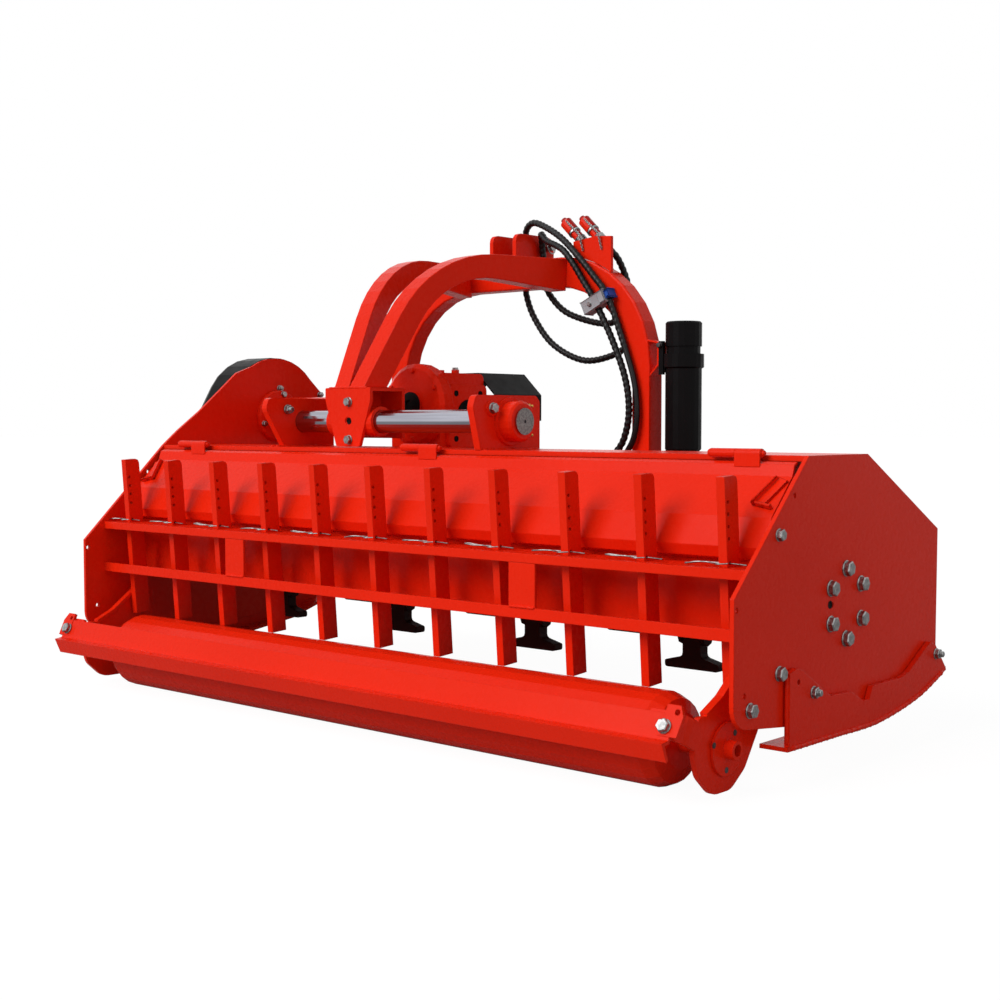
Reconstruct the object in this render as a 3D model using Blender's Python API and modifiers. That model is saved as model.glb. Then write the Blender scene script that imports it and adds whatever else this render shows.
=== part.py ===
"""Tractor mulcher with a side-shift headstock, a rake and a rear roller.

Metres, +Z up. X runs along the working width, Y points forward to the tractor.
The design frame has the rotor's axis at Y = 0 and the middle of the working
width at X = 0; the parent empty "machine" then puts the origin under the
middle of the whole machine, on the ground.
"""
import math

import bmesh
import bpy
from mathutils import Vector

# Gaps and sheet metal
GAP = 0.0004
SLIDE_GAP = 0.0008
RUN_GAP = 0.0006
SIDE_THICKNESS = 0.010
DECK_THICKNESS = 0.008
HOOD_THICKNESS = 0.005
BEAM_THICKNESS = 0.006

# Rotor housing
INNER_WIDTH = 2.150
DECK_TOP = 0.664
DECK_REAR_Y = -0.156
DECK_CREST_Y = 0.089
DECK_FRONT_Y = 0.425
DECK_FALL = 0.521
DECK_SKIRT = 0.090
PLATE_REAR_Y = -0.428
PLATE_REAR_TOP = 0.398
PLATE_FRONT_STEP = 0.004
PLATE_HEEL = (-0.378, 0.193)
PLATE_HEEL_RADIUS = 0.050
PLATE_SOLE_REAR = (-0.100, 0.112)
PLATE_SOLE_MIDDLE = (0.180, 0.125)
PLATE_SOLE_FRONT = 0.212
PLATE_HOLES = ((-0.212, 0.586), (-0.419, 0.376), (-0.390, 0.209))
SMALL_HOLE_RADIUS = 0.006
GREASE_HOLE = (-0.057, 0.002)

# Belt drive on the left
ROTOR_Z = 0.352
DRIVE_Y = 0.278
DRIVE_Z = 0.750
LEFT_PLATE_CROWN = 0.183
LEFT_PLATE_FRONT = (0.468, 0.823)
LEFT_PLATE_STEPS = ((-0.102, 0.044), (-0.023, 0.101))
LEFT_PLATE_SHOULDER = (0.119, 0.133)
COVER_WIDTH = 0.134
COVER_TOP_RADIUS = 0.185
COVER_LOW_RADIUS = 0.150
COVER_WALL = 0.004
COVER_ROUNDING = 0.022
ROTOR_PULLEY_RADIUS = 0.090
DRIVE_PULLEY_RADIUS = 0.130
PULLEY_RIM = 0.008
PULLEY_WIDTH = 0.074
PULLEY_OFFSET = 0.018
BELT_WIDTH = 0.056
BELT_THICKNESS = 0.010
DRIVE_TUBE_RADIUS = 0.0575
DRIVE_TUBE_WALL = 0.006
DRIVE_FLANGE_RADIUS = 0.082
DRIVE_FLANGE_THICKNESS = 0.016
DRIVE_SHAFT_RADIUS = 0.024
DRIVE_SHAFT_REACH = 0.150
DRIVE_HOLE_GAP = 0.006

# Rotor and hammers
ROTOR_TUBE_RADIUS = 0.0735
ROTOR_SHAFT_RADIUS = 0.025
ROTOR_END_SPACE = 0.060
HAMMER_END_SPACE = 0.131
PIVOT_RADIUS = 0.105
PIVOT_PIN_RADIUS = 0.009
LUG_THICKNESS = 0.010
LUG_ROUND = 0.020
LUG_ROOT = 0.060
HAMMER_STEM = 0.048
HAMMER_FOOT = 0.145
HAMMER_DEPTH = 0.030
HAMMER_LENGTH = 0.074
HAMMER_TOE = 0.016
HAMMER_FLARE = 0.012
HAMMER_ROWS = (-120.0, 0.0, 60.0, 0.0, 60.0, 0.0, 60.0, 0.0, -120.0)
BEARING_FLANGE_RADIUS = 0.094
BEARING_HUB_RADIUS = 0.058
BEARING_LENGTH = 0.046
BEARING_FLANGE_THICKNESS = 0.016

# Rear hood
HINGE_Y = -0.170
HINGE_RISE = 0.004
KNUCKLE_RADIUS = 0.0095
HINGE_PIN_RADIUS = 0.0055
KNUCKLE_LENGTH = 0.062
HINGE_END_SPACES = (0.163, 0.153)
HINGE_MIDDLE_X = 0.005
HOOD_END_GAP = 0.012
HOOD_BAND_DROP = 0.042
HOOD_CREASE_Y = -0.262
HOOD_CREASE_DROP = 0.121
HOOD_LIP_Y = -0.280
HOOD_LIP_DROP = 0.181
APRON_Y = -0.240
APRON_BOTTOM = 0.290

# Rake
TINE_COUNT = 11
TINE_END_SPACE = 0.075
TINE_WIDTH = 0.020
TINE_DEPTH = 0.045
TINE_LENGTH = 0.441
TINE_FOOT_STEP = 0.0524
TINE_FOOT_DROP = 0.009
TINE_LEAN = 4.25
TINE_ROUND = 0.012
TINE_HOLES = 5
TINE_HOLE_PITCH = 0.0242
TINE_HOLE_TOP = 0.050
TINE_HOLE_RADIUS = 0.0042
TINE_HOLE_INSET = 0.009
BEAM_REAR_Y = -0.365
BEAM_DEPTH = 0.090
UPPER_BEAM_TOP = 0.447
UPPER_BEAM_LIP = 0.020
LOWER_BEAM_TOP = 0.330
LOWER_BEAM_HEIGHT = 0.025
SPACER_WIDTH = 0.075
SPACER_CENTRES = (-0.485, 0.503)

# Rear roller
ROLLER_Y = -0.369
ROLLER_RADIUS = 0.097
ROLLER_END_SPACE = 0.145
ROLLER_NOSE = 0.040
ROLLER_STUB_RADIUS = 0.020
ROLLER_BORE_RADIUS = 0.012
ROLLER_WALL = 0.010
ARM_FACE_SPACE = 0.045
ARM_THICKNESS = 0.012
ARM_PIVOT = (-0.265, 0.237)
ARM_PIVOT_RADIUS = 0.024
ARM_FLANGE_HEIGHT = 0.054
ARM_FLANGE_BACK = 0.1546
ARM_FLANGE_RISE = 0.068
ARM_FLANGE_LEAN = 27
ARM_FLANGE_RUNS = (0.035, 0.042)
ARM_FLANGE_SHEET = 0.008
ARM_BEND_RADIUS = 0.040
ARM_EDGE_WIDTH = 0.018
ARM_EDGE_SHEET = 0.010
CAP_RADIUS = 0.054
CAP_THICKNESS = 0.006
CAP_HUB_RADIUS = 0.019
CAP_HUB_LENGTH = 0.022
CAP_BORE_RADIUS = 0.012
SCRAPER_END_STEP = 0.012
SCRAPER_THICKNESS = 0.007
SCRAPER_PATH = ((0.1805, 0.001), (0.197, 0.039), (0.176, 0.042), (0.152, 0.089))
SCRAPER_TAB = ((-0.028, -0.030), (0.016, -0.030), (0.019, 0.012), (0.008, 0.033), (-0.022, 0.033))
SCRAPER_TAB_BACK = 0.1565
SCRAPER_TAB_RISE = 0.0737
SCRAPER_TAB_STEP = 0.0008
SCRAPER_HOLES = (-0.012, 0.004)
SCRAPER_HOLE_RISE = 0.019

# Skids
SKID_STEP = 0.002
SKID_THICKNESS = 0.012
SOLE_OVERHANG = 0.041
SOLE_WIDTH = 0.065
SOLE_THICKNESS = 0.009
SKID_GROUND = 0.080
SKID_HOLE = (-0.212, 0.215)
SKID_TOP_EDGE = (
    (-0.246, 0.235), (-0.220, 0.243), (-0.200, 0.238), (-0.083, 0.170), (0.006, 0.166), (0.055, 0.140),
    (0.083, 0.140), (0.098, 0.166), (0.228, 0.167), (0.266, 0.175), (0.354, 0.222), (0.374, 0.231),
    (0.398, 0.221), (0.449, 0.166),
)
SKID_LOW_EDGE = ((0.440, 0.076), (0.303, 0.032), (0.118, 0.004), (-0.246, 0.004))
SOLE_PATH = ((-0.252, 0.0), (0.119, 0.0), (0.306, 0.028), (0.454, 0.077))

# Side shift at the rear
HEAD_FROM_LEFT = 0.730
SHAFT_Y = -0.050
SHAFT_RISE = 0.069
SHAFT_RADIUS = 0.030
LEFT_EAR_STEP = 0.225
RIGHT_EAR_STEP = 0.540
LEFT_EAR_FOOT_Y = -0.120
RIGHT_EAR_FOOT_Y = -0.158
EAR_THICKNESS = 0.020
EAR_HEIGHT = 0.133
EAR_FRONT_Y = 0.062
EAR_REAR_Y = -0.185
EAR_BOSS_RADIUS = 0.050
EAR_BOSS_LENGTH = 0.043
EAR_PAD_RADIUS = 0.060
EAR_PAD_THICKNESS = 0.006
EAR_LOBE_Y = -0.120
EAR_LOBE_RISE = 0.032
EAR_LOBE_RADIUS = 0.020
END_DISC_STEP = 0.003
CARRIAGE_WIDTH = 0.175
CARRIAGE_FOOT_WIDTH = 0.090
CARRIAGE_HEIGHT = 0.159
CARRIAGE_REAR_Y = -0.092
CARRIAGE_FRONT_Y = 0.036
CARRIAGE_PLATE = 0.010
CARRIAGE_BAND = 0.034
CARRIAGE_APRON = 0.045
CARRIAGE_BEARING_WALL = 0.010
CARRIAGE_RIB = 0.012

# Headstock arch and arms
ARCH_GUIDE_SPACE = 0.040
ARCH_DEPTH = 0.060
ARCH_OUTER_HALF = 0.510
ARCH_LEG_WIDTH = 0.061
ARCH_TOP = 1.209
ARCH_BEAM_HEIGHT = 0.085
ARCH_OUTER_RADIUS = 0.320
ARCH_INNER_RADIUS = 0.280
ARCH_FOOT_Z = 0.450
ARCH_EDGE = 0.006
CHANNEL_DEPTH = 0.024
CHANNEL_SHEET = 0.005
CHANNEL_WIDTH = 0.040
CHANNEL_BACK = 0.008
ARM_BASE_OFFSET = 0.0292
ARM_WIDTH = 0.0565
ARM_SPREAD = 12.7
ARM_RISE_SPREAD = 1.5
ARM_BASE_Y = -0.0865
ARM_BASE_FRONT_Y = -0.016
ARM_EDGE = 0.008
LUG_OFFSET = 0.045
TOP_LUG_THICKNESS = 0.014
TOP_LUG_BACK = 0.036
TOP_LUG_REACH = 0.138
TOP_LUG_HEIGHT = 0.078
TOP_PIN_REACH = 0.101
TOP_PIN_RISE = 0.047
TOP_PIN_RADIUS = 0.0125
TOP_PIN_LENGTH = 0.150
LOWER_PIN_REACH = 0.130
LOWER_PIN_Z = 0.500
LOWER_PIN_RADIUS = 0.014
LOWER_PIN_LENGTH = 0.100
LINK_NOSE = 0.026
LINK_HALF_HEIGHT = 0.034
LINK_RISE = 0.110
LINK_THICKNESS = 0.016

# Front guide and side-shift cylinder
GUIDE_SIDE = 0.080
GUIDE_DECK_SPACE = 0.025
GUIDE_Z = 0.540
GUIDE_LEFT_SPACE = 0.075
GUIDE_REACH = 1.025
GUIDE_BRACKET_INSET = 0.015
GUIDE_MIDDLE_STEP = 0.155
GUIDE_BRACKET_THICKNESS = 0.016
GUIDE_BRACKET_RUN = 0.200
SLEEVE_WIDTH = 0.100
SLEEVE_WALL = 0.010
CYLINDER_Z = 0.412
CYLINDER_EYE_HALF = 0.034
CYLINDER_EYE_THICKNESS = 0.014
BARREL_RADIUS = 0.030
BARREL_LENGTH = 0.560
BARREL_END_STEP = 0.075
SADDLE_HALF = 0.026
SADDLE_LAP = 0.020
ROD_RADIUS = 0.014
ROD_INSERT = 0.120
PORT_RADIUS = 0.011
PORT_HEIGHT = 0.014
PORT_SINK = 0.006
PORT_INSETS = (0.035, 0.040)

# Gearbox and power take-off guard
GEARBOX_WIDTH = 0.170
GEARBOX_REAR_Y = 0.175
GEARBOX_FRONT_Y = 0.355
GEARBOX_TOP = 0.868
GEARBOX_DISC_RADIUS = 0.115
GEARBOX_DISC_Y = 0.158
GEARBOX_AXIS_Z = 0.779
GEARBOX_HUB_RADIUS = 0.033
GEARBOX_FLANGE = ((0.197, 0.350), (0.660, 0.836))
GEARBOX_FLANGE_THICKNESS = 0.024
GEARBOX_BORE_PLACE = (0.2735, 0.748)
GEARBOX_BORE_RADIUS = 0.046
GEARBOX_PLUG_RADIUS = 0.011
GEARBOX_PLUG_Y = 0.250
INPUT_SHAFT_RADIUS = 0.0175
INPUT_SPLINES = 6
GUARD_REAR_Y = 0.3556
GUARD_FRONT_Y = 0.560
GUARD_TOP = 0.872
GUARD_TOP_HALF = 0.062
GUARD_SIDE_HALF = 0.128
GUARD_SHOULDER_Z = 0.810
GUARD_SKIRT_Z = 0.735
GUARD_SHEET = 0.004

# Document holder
HOLDER_STEP = 0.085
HOLDER_FORWARD = 0.042
HOLDER_BOTTOM = 0.651
HOLDER_RADIUS = 0.050
HOLDER_WALL = 0.004
HOLDER_NECK_TOP = 0.930
HOLDER_CAP_BOTTOM = 0.939
HOLDER_CAP_TOP = 1.007
HOLDER_COLLAR = (0.882, 0.918)
HOLDER_COLLAR_STEP = 0.006
STRUT_Z = 0.600
STRUT_WIDTH = 0.030

# Hydraulic couplers
COUPLER_FORWARD = 0.028
COUPLER_RISE = 0.043
COUPLER_STEPS = (0.260, 0.193)
COUPLER_PLATE_STEPS = (0.275, 0.139)
COUPLER_PLATE_BACK = 0.018
COUPLER_LEAN = 46.0
COUPLER_PARTS = {
    "body": (0.015, 0.050, 0.0),
    "cap": (0.018, 0.040, 0.045),
    "knob": (0.009, 0.014, 0.083),
}

# Hoses
HOSE_RADIUS = 0.010
HOSE_POINT_SPACING = 0.040

# Places across the width, worked out from the sizes above
HALF_WIDTH = INNER_WIDTH / 2
HEAD_X = HEAD_FROM_LEFT - HALF_WIDTH
LEFT_EAR_X = HEAD_X - LEFT_EAR_STEP
RIGHT_EAR_X = HEAD_X + RIGHT_EAR_STEP
HAMMER_COUNT = len(HAMMER_ROWS)
HAMMER_FIRST_X = HAMMER_END_SPACE - HALF_WIDTH
HAMMER_PITCH = -2 * HAMMER_FIRST_X / (HAMMER_COUNT - 1)
HINGE_CENTRES = (HINGE_END_SPACES[0] - HALF_WIDTH, HINGE_MIDDLE_X, HALF_WIDTH - HINGE_END_SPACES[1])
TINE_PITCH = (INNER_WIDTH - 2 * TINE_END_SPACE) / (TINE_COUNT - 1)
ROLLER_HALF = HALF_WIDTH - ROLLER_END_SPACE
ARM_OUTER_X = HALF_WIDTH - ARM_FACE_SPACE
SCRAPER_HALF = ARM_OUTER_X - SCRAPER_END_STEP
SOLE_INNER_X = HALF_WIDTH - SOLE_OVERHANG
GUIDE_LEFT_X = GUIDE_LEFT_SPACE - HALF_WIDTH
GUIDE_RIGHT_X = HEAD_X + GUIDE_REACH
GUIDE_BRACKETS = (GUIDE_LEFT_X + GUIDE_BRACKET_INSET, HEAD_X + GUIDE_MIDDLE_STEP,
                  GUIDE_RIGHT_X - GUIDE_BRACKET_INSET)
LEG_FACE_X = HEAD_X + ARCH_OUTER_HALF
ARCH_INNER_HALF = ARCH_OUTER_HALF - ARCH_LEG_WIDTH
BARREL_RIGHT_X = LEG_FACE_X - BARREL_END_STEP
BARREL_LEFT_X = BARREL_RIGHT_X - BARREL_LENGTH
HOLDER_X = LEG_FACE_X + HOLDER_STEP

# Places from rear to front
PLATE_FRONT_Y = DECK_FRONT_Y + PLATE_FRONT_STEP
TINE_FOOT = (ROLLER_Y + TINE_FOOT_STEP, 2 * ROLLER_RADIUS - TINE_FOOT_DROP)
GUIDE_Y = DECK_FRONT_Y + GUIDE_DECK_SPACE + GUIDE_SIDE / 2
ARCH_REAR_Y = GUIDE_Y + GUIDE_SIDE / 2 + ARCH_GUIDE_SPACE
CYLINDER_Y = ARCH_REAR_Y + ARCH_DEPTH / 2
LOWER_PIN_Y = ARCH_REAR_Y + LOWER_PIN_REACH
COUPLER_Y = ARCH_REAR_Y + COUPLER_FORWARD
HOLDER_Y = ARCH_REAR_Y + HOLDER_FORWARD

# Heights
HINGE_Z = DECK_TOP + HINGE_RISE
HOOD_CREASE = (HOOD_CREASE_Y, DECK_TOP - HOOD_CREASE_DROP)
HOOD_LIP = (HOOD_LIP_Y, DECK_TOP - HOOD_LIP_DROP)
SHAFT_Z = DECK_TOP + SHAFT_RISE
EAR_TOP = DECK_TOP + EAR_HEIGHT
CARRIAGE_TOP = DECK_TOP + CARRIAGE_HEIGHT
ARCH_UNDER = ARCH_TOP - ARCH_BEAM_HEIGHT
TOP_PIN = (ARCH_REAR_Y + TOP_PIN_REACH, ARCH_TOP + TOP_PIN_RISE)
COUPLER_Z = ARCH_TOP + COUPLER_RISE

# Origin under the middle of the machine
MACHINE_X = (COVER_WIDTH + GAP + HALF_WIDTH + SIDE_THICKNESS - SOLE_INNER_X - SOLE_WIDTH) / 2
MACHINE_Y = -(LOWER_PIN_Y + LINK_NOSE + ROLLER_Y - SCRAPER_PATH[1][0]) / 2

PARTS_NAME = "mulcher"


def start_scene():
    """Empty the scene and make the collections for the parts and the cutters."""
    for old in list(bpy.data.objects):
        bpy.data.objects.remove(old)
    for name in (PARTS_NAME, "cutters"):
        bpy.context.scene.collection.children.link(bpy.data.collections.new(name))


def paint(name, colour, roughness, metallic=0.0):
    """Return the named material, and make it the first time."""
    found = bpy.data.materials.get(name)
    if found:
        return found
    made = bpy.data.materials.new(name)
    made.use_nodes = True
    shader = made.node_tree.nodes["Principled BSDF"]
    shader.inputs["Base Color"].default_value = (*colour, 1.0)
    shader.inputs["Roughness"].default_value = roughness
    shader.inputs["Metallic"].default_value = metallic
    return made


def red_paint():
    return paint("red_paint", (0.80, 0.032, 0.010), 0.28)


def black_plastic():
    return paint("black_plastic", (0.012, 0.011, 0.012), 0.45)


def bright_steel():
    return paint("bright_steel", (0.62, 0.62, 0.63), 0.18, 1.0)


def dark_iron():
    return paint("dark_iron", (0.045, 0.014, 0.010), 0.55, 0.6)


def hose_rubber():
    return paint("hose_rubber", (0.010, 0.010, 0.011), 0.55)


def belt_rubber():
    return paint("belt_rubber", (0.018, 0.018, 0.018), 0.8)


def body(name, place, parent=None):
    """Add an empty on a moving body's joint axis, in design coordinates."""
    empty = bpy.data.objects.new(name, None)
    empty.location = place
    empty.parent = parent
    bpy.data.collections[PARTS_NAME].objects.link(empty)
    return empty


def add(name, data, material, place, parent, turn=(0, 0, 0)):
    """Add an object at a place given in design coordinates, under its body's empty."""
    piece = bpy.data.objects.new(name, data)
    if material:
        data.materials.append(material)
    offset = parent.location if parent.parent else Vector((0, 0, 0))
    piece.parent = parent
    piece.location = Vector(place) - offset
    piece.rotation_euler = [math.radians(angle) for angle in turn]
    bpy.data.collections[PARTS_NAME].objects.link(piece)
    return piece


def arc(centre, radius, start, end, steps):
    """Points along an arc, from one angle to the other in degrees."""
    points = []
    for i in range(steps + 1):
        angle = math.radians(start + (end - start) * i / steps)
        points.append((centre[0] + radius * math.cos(angle), centre[1] + radius * math.sin(angle)))
    return points


def circle(centre, radius, steps=16):
    return arc(centre, radius, 0, 360, steps)[:-1]


def rounded(corners, steps=4):
    """An outline from (a, b, radius) corners, each replaced by a tangent arc."""
    points = []
    count = len(corners)
    for i, (a, b, radius) in enumerate(corners):
        here = Vector((a, b))
        if radius == 0:
            points.append((a, b))
            continue
        before = Vector(corners[i - 1][:2]) - here
        after = Vector(corners[(i + 1) % count][:2]) - here
        half = before.angle(after) / 2
        reach = radius / math.tan(half)
        middle = (before.normalized() + after.normalized()).normalized()
        centre = here + middle * (radius / math.sin(half))
        first = here + before.normalized() * reach - centre
        turn = first.angle_signed(here + after.normalized() * reach - centre)
        start = math.atan2(first.y, first.x)
        for k in range(steps + 1):
            angle = start - turn * k / steps
            points.append((centre.x + radius * math.cos(angle), centre.y + radius * math.sin(angle)))
    return points


def sheet_outline(path, thickness):
    """The closed outline of a bent sheet whose outer face follows an open path.

    The thickness lies on the left of the path's direction, with mitred bends.
    """
    inner = []
    for i, point in enumerate(path):
        here = Vector(point)
        normals = []
        if i > 0:
            run = (here - Vector(path[i - 1])).normalized()
            normals.append(Vector((-run.y, run.x)))
        if i < len(path) - 1:
            run = (Vector(path[i + 1]) - here).normalized()
            normals.append(Vector((-run.y, run.x)))
        middle = (normals[0] + normals[-1]).normalized()
        inner.append(here + middle * (thickness / middle.dot(normals[0])))
    return list(path) + [(point.x, point.y) for point in reversed(inner)]


PLANES = {"side": (90, 0, 90), "front": (90, 0, 0), "top": (0, 0, 0)}


def flat(name, outline, thickness, plane, level, material, parent, holes=()):
    """A flat outline of one thickness, centred on a level along the plane's normal.

    The outline is (Y, Z) on the side plane, (X, Z) on the front plane and (X, Y)
    on the top plane.
    """
    data = bpy.data.curves.new(name, "CURVE")
    data.dimensions = "2D"
    data.fill_mode = "BOTH"
    data.extrude = thickness / 2
    for loop in (outline, *holes):
        spline = data.splines.new("POLY")
        spline.points.add(len(loop) - 1)
        for point, (a, b) in zip(spline.points, loop):
            point.co = (a, b, 0, 1)
        spline.use_cyclic_u = True
    place = {"side": (level, 0, 0), "front": (0, level, 0), "top": (0, 0, level)}[plane]
    return add(name, data, material, place, parent, PLANES[plane])


def as_mesh(piece):
    """Make a curve a welded mesh, in the same place, for a cut or a union."""
    if piece.type == "MESH":
        return piece
    bpy.context.view_layer.update()
    graph = bpy.context.evaluated_depsgraph_get()
    mesh = bpy.data.meshes.new_from_object(piece.evaluated_get(graph))
    shape = bmesh.new()
    shape.from_mesh(mesh)
    bmesh.ops.remove_doubles(shape, verts=shape.verts, dist=0.000005)
    shape.to_mesh(mesh)
    shape.free()
    name = piece.name
    parent = piece.parent
    matrix = piece.matrix_world.copy()
    bpy.data.objects.remove(piece)
    solid = bpy.data.objects.new(name, mesh)
    bpy.data.collections[PARTS_NAME].objects.link(solid)
    solid.parent = parent
    solid.matrix_world = matrix
    return solid


def combine(target, tool, operation):
    """Cut or join a mesh with a tool that then counts as a cutter."""
    tool = as_mesh(tool)
    modifier = target.modifiers.new(tool.name, "BOOLEAN")
    modifier.operation = operation
    modifier.object = tool
    bpy.data.collections[PARTS_NAME].objects.unlink(tool)
    bpy.data.collections["cutters"].objects.link(tool)
    tool.hide_render = True
    tool.display_type = "WIRE"
    return target


def cut(target, *tools):
    for tool in tools:
        combine(target, tool, "DIFFERENCE")
    return target


def join(target, *tools):
    for tool in tools:
        combine(target, tool, "UNION")
    return target


def round_edges(piece, width, segments=2, angle=40):
    bevel = piece.modifiers.new("edges", "BEVEL")
    bevel.width = width
    bevel.segments = segments
    bevel.limit_method = "ANGLE"
    bevel.angle_limit = math.radians(angle)
    return piece


def box(name, size, centre, material, parent):
    """A box of one size about a centre."""
    data = bpy.data.meshes.new(name)
    shape = bmesh.new()
    bmesh.ops.create_cube(shape, size=1.0)
    bmesh.ops.scale(shape, vec=size, verts=shape.verts)
    shape.to_mesh(data)
    shape.free()
    return add(name, data, material, centre, parent)


def block(name, x_range, y_range, z_range, material, parent):
    """A box from its ranges along X, Y and Z."""
    ranges = (x_range, y_range, z_range)
    size = [high - low for low, high in ranges]
    centre = [(high + low) / 2 for low, high in ranges]
    return box(name, size, centre, material, parent)


AXES = {"x": (0, 90, 0), "y": (-90, 0, 0), "z": (0, 0, 0)}


def rod(name, radius, length, axis, centre, material, parent, sides=20, tip=None):
    """A round bar, or a cone where its tip has another radius."""
    data = bpy.data.meshes.new(name)
    shape = bmesh.new()
    bmesh.ops.create_cone(
        shape, cap_ends=True, segments=sides, radius1=radius,
        radius2=radius if tip is None else tip, depth=length)
    shape.to_mesh(data)
    shape.free()
    data.shade_smooth()
    data.set_sharp_from_angle(angle=math.radians(35))
    return add(name, data, material, centre, parent, AXES[axis])


def turned(name, profile, axis, place, material, parent, steps=24, closed=False):
    """A turned shape from (radius, height) points, top to bottom down the outer side."""
    data = bpy.data.meshes.new(name)
    edges = [(i, i + 1) for i in range(len(profile) - 1)]
    if closed:
        edges.append((len(profile) - 1, 0))
    data.from_pydata([(radius, 0, height) for radius, height in profile], edges, [])
    piece = add(name, data, material, place, parent, AXES[axis])
    screw = piece.modifiers.new("turn", "SCREW")
    screw.steps = steps
    screw.render_steps = steps
    screw.use_merge_vertices = True
    screw.merge_threshold = 0.00005
    screw.use_smooth_shade = True
    return piece


def deck_height(y):
    """Height of the deck's outer face at a place from rear to front."""
    return DECK_TOP - max(0.0, y - DECK_CREST_Y) * DECK_FALL


def tine_rear_y(z):
    """Y of the tines' rear face at a height."""
    return TINE_FOOT[0] - (z - TINE_FOOT[1]) * math.tan(math.radians(TINE_LEAN))


def plate_sole():
    """The lower edge of both side plates, from the front to the top of the rear edge."""
    return [
        (PLATE_FRONT_Y - 0.002, PLATE_SOLE_FRONT),
        PLATE_SOLE_MIDDLE,
        PLATE_SOLE_REAR,
        *arc(PLATE_HEEL, PLATE_HEEL_RADIUS, -97.7, -180, 6),
        (PLATE_REAR_Y, PLATE_REAR_TOP),
        (DECK_REAR_Y, DECK_TOP),
    ]


def plate_holes():
    """Small holes that both side plates share."""
    return [circle(place, SMALL_HOLE_RADIUS, 10) for place in PLATE_HOLES]


def right_side_plate(frame):
    outline = plate_sole() + [(DECK_CREST_Y, DECK_TOP), (PLATE_FRONT_Y, deck_height(PLATE_FRONT_Y))]
    grease_hole = circle((GREASE_HOLE[0], ROTOR_Z + GREASE_HOLE[1]), SMALL_HOLE_RADIUS, 10)
    flat("right_side_plate", outline, SIDE_THICKNESS, "side", HALF_WIDTH + SIDE_THICKNESS / 2,
         red_paint(), frame, plate_holes() + [grease_hole])


def left_side_plate(frame):
    """The left plate rises over the belt drive and carries the rotor's left bearing hub."""
    middle = -HALF_WIDTH - SIDE_THICKNESS / 2
    outline = plate_sole() + [(y, DECK_TOP + rise) for y, rise in LEFT_PLATE_STEPS] + [
        (LEFT_PLATE_SHOULDER[0], DRIVE_Z + LEFT_PLATE_SHOULDER[1]),
        *arc((DRIVE_Y, DRIVE_Z), LEFT_PLATE_CROWN, 122, 40, 8),
        LEFT_PLATE_FRONT,
        (PLATE_FRONT_Y, deck_height(PLATE_FRONT_Y)),
    ]
    drive_hole = circle((DRIVE_Y, DRIVE_Z), DRIVE_SHAFT_RADIUS + DRIVE_HOLE_GAP, 20)
    rotor_hole = circle((0, ROTOR_Z), ROTOR_SHAFT_RADIUS + RUN_GAP, 18)
    plate = as_mesh(flat("left_side_plate", outline, SIDE_THICKNESS, "side", middle, red_paint(), frame,
                         plate_holes() + [drive_hole, rotor_hole]))
    hub = turned("left_bearing_hub", [
        (BEARING_HUB_RADIUS, BEARING_LENGTH),
        (BEARING_FLANGE_RADIUS, BEARING_FLANGE_THICKNESS),
        (BEARING_FLANGE_RADIUS, -SIDE_THICKNESS / 2),
        (ROTOR_SHAFT_RADIUS + RUN_GAP, -SIDE_THICKNESS / 2),
        (ROTOR_SHAFT_RADIUS + RUN_GAP, BEARING_LENGTH),
    ], "x", (-HALF_WIDTH, 0, ROTOR_Z), None, frame, 18, closed=True)
    join(plate, hub)


def hinge_leaf(name, middle, frame, width, upper):
    """One knuckle with its leaf; the upper one lies on the deck, the lower one on the hood."""
    knuckle = rod(name + "_knuckle", KNUCKLE_RADIUS, width, "x", (middle, HINGE_Y, HINGE_Z), None, frame, 12)
    if upper:
        leaf = block(name + "_leaf", (middle - width / 2, middle + width / 2),
                     (HINGE_Y, DECK_REAR_Y + 0.004), (DECK_TOP - 0.006, DECK_TOP + 0.001), None, frame)
    else:
        leaf = block(name + "_leaf", (middle - width / 2, middle + width / 2),
                     (HINGE_Y - KNUCKLE_RADIUS, HINGE_Y - 0.006), (HINGE_Z - 0.028, HINGE_Z), None, frame)
    return knuckle, leaf


def deck_shell(frame):
    """The bent cover sheet, with its half of the hood hinges and their pins."""
    path = [
        (DECK_REAR_Y, DECK_TOP - DECK_THICKNESS - 0.004),
        (DECK_REAR_Y, DECK_TOP),
        (DECK_CREST_Y, DECK_TOP),
        (DECK_FRONT_Y, deck_height(DECK_FRONT_Y)),
        (DECK_FRONT_Y, deck_height(DECK_FRONT_Y) - DECK_SKIRT),
    ]
    outline = sheet_outline(list(reversed(path)), DECK_THICKNESS)
    deck = as_mesh(flat("deck_shell", outline, INNER_WIDTH - 2 * GAP, "side", 0, red_paint(), frame))
    for i, centre in enumerate(HINGE_CENTRES):
        middle = centre - KNUCKLE_LENGTH / 2
        knuckle, leaf = hinge_leaf("deck_hinge_%d" % i, middle, frame, KNUCKLE_LENGTH - GAP, True)
        pin = rod("hinge_pin_%d" % i, HINGE_PIN_RADIUS, 2 * KNUCKLE_LENGTH - 0.004, "x",
                  (centre, HINGE_Y, HINGE_Z), None, frame, 10)
        join(deck, knuckle, leaf, pin)


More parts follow.
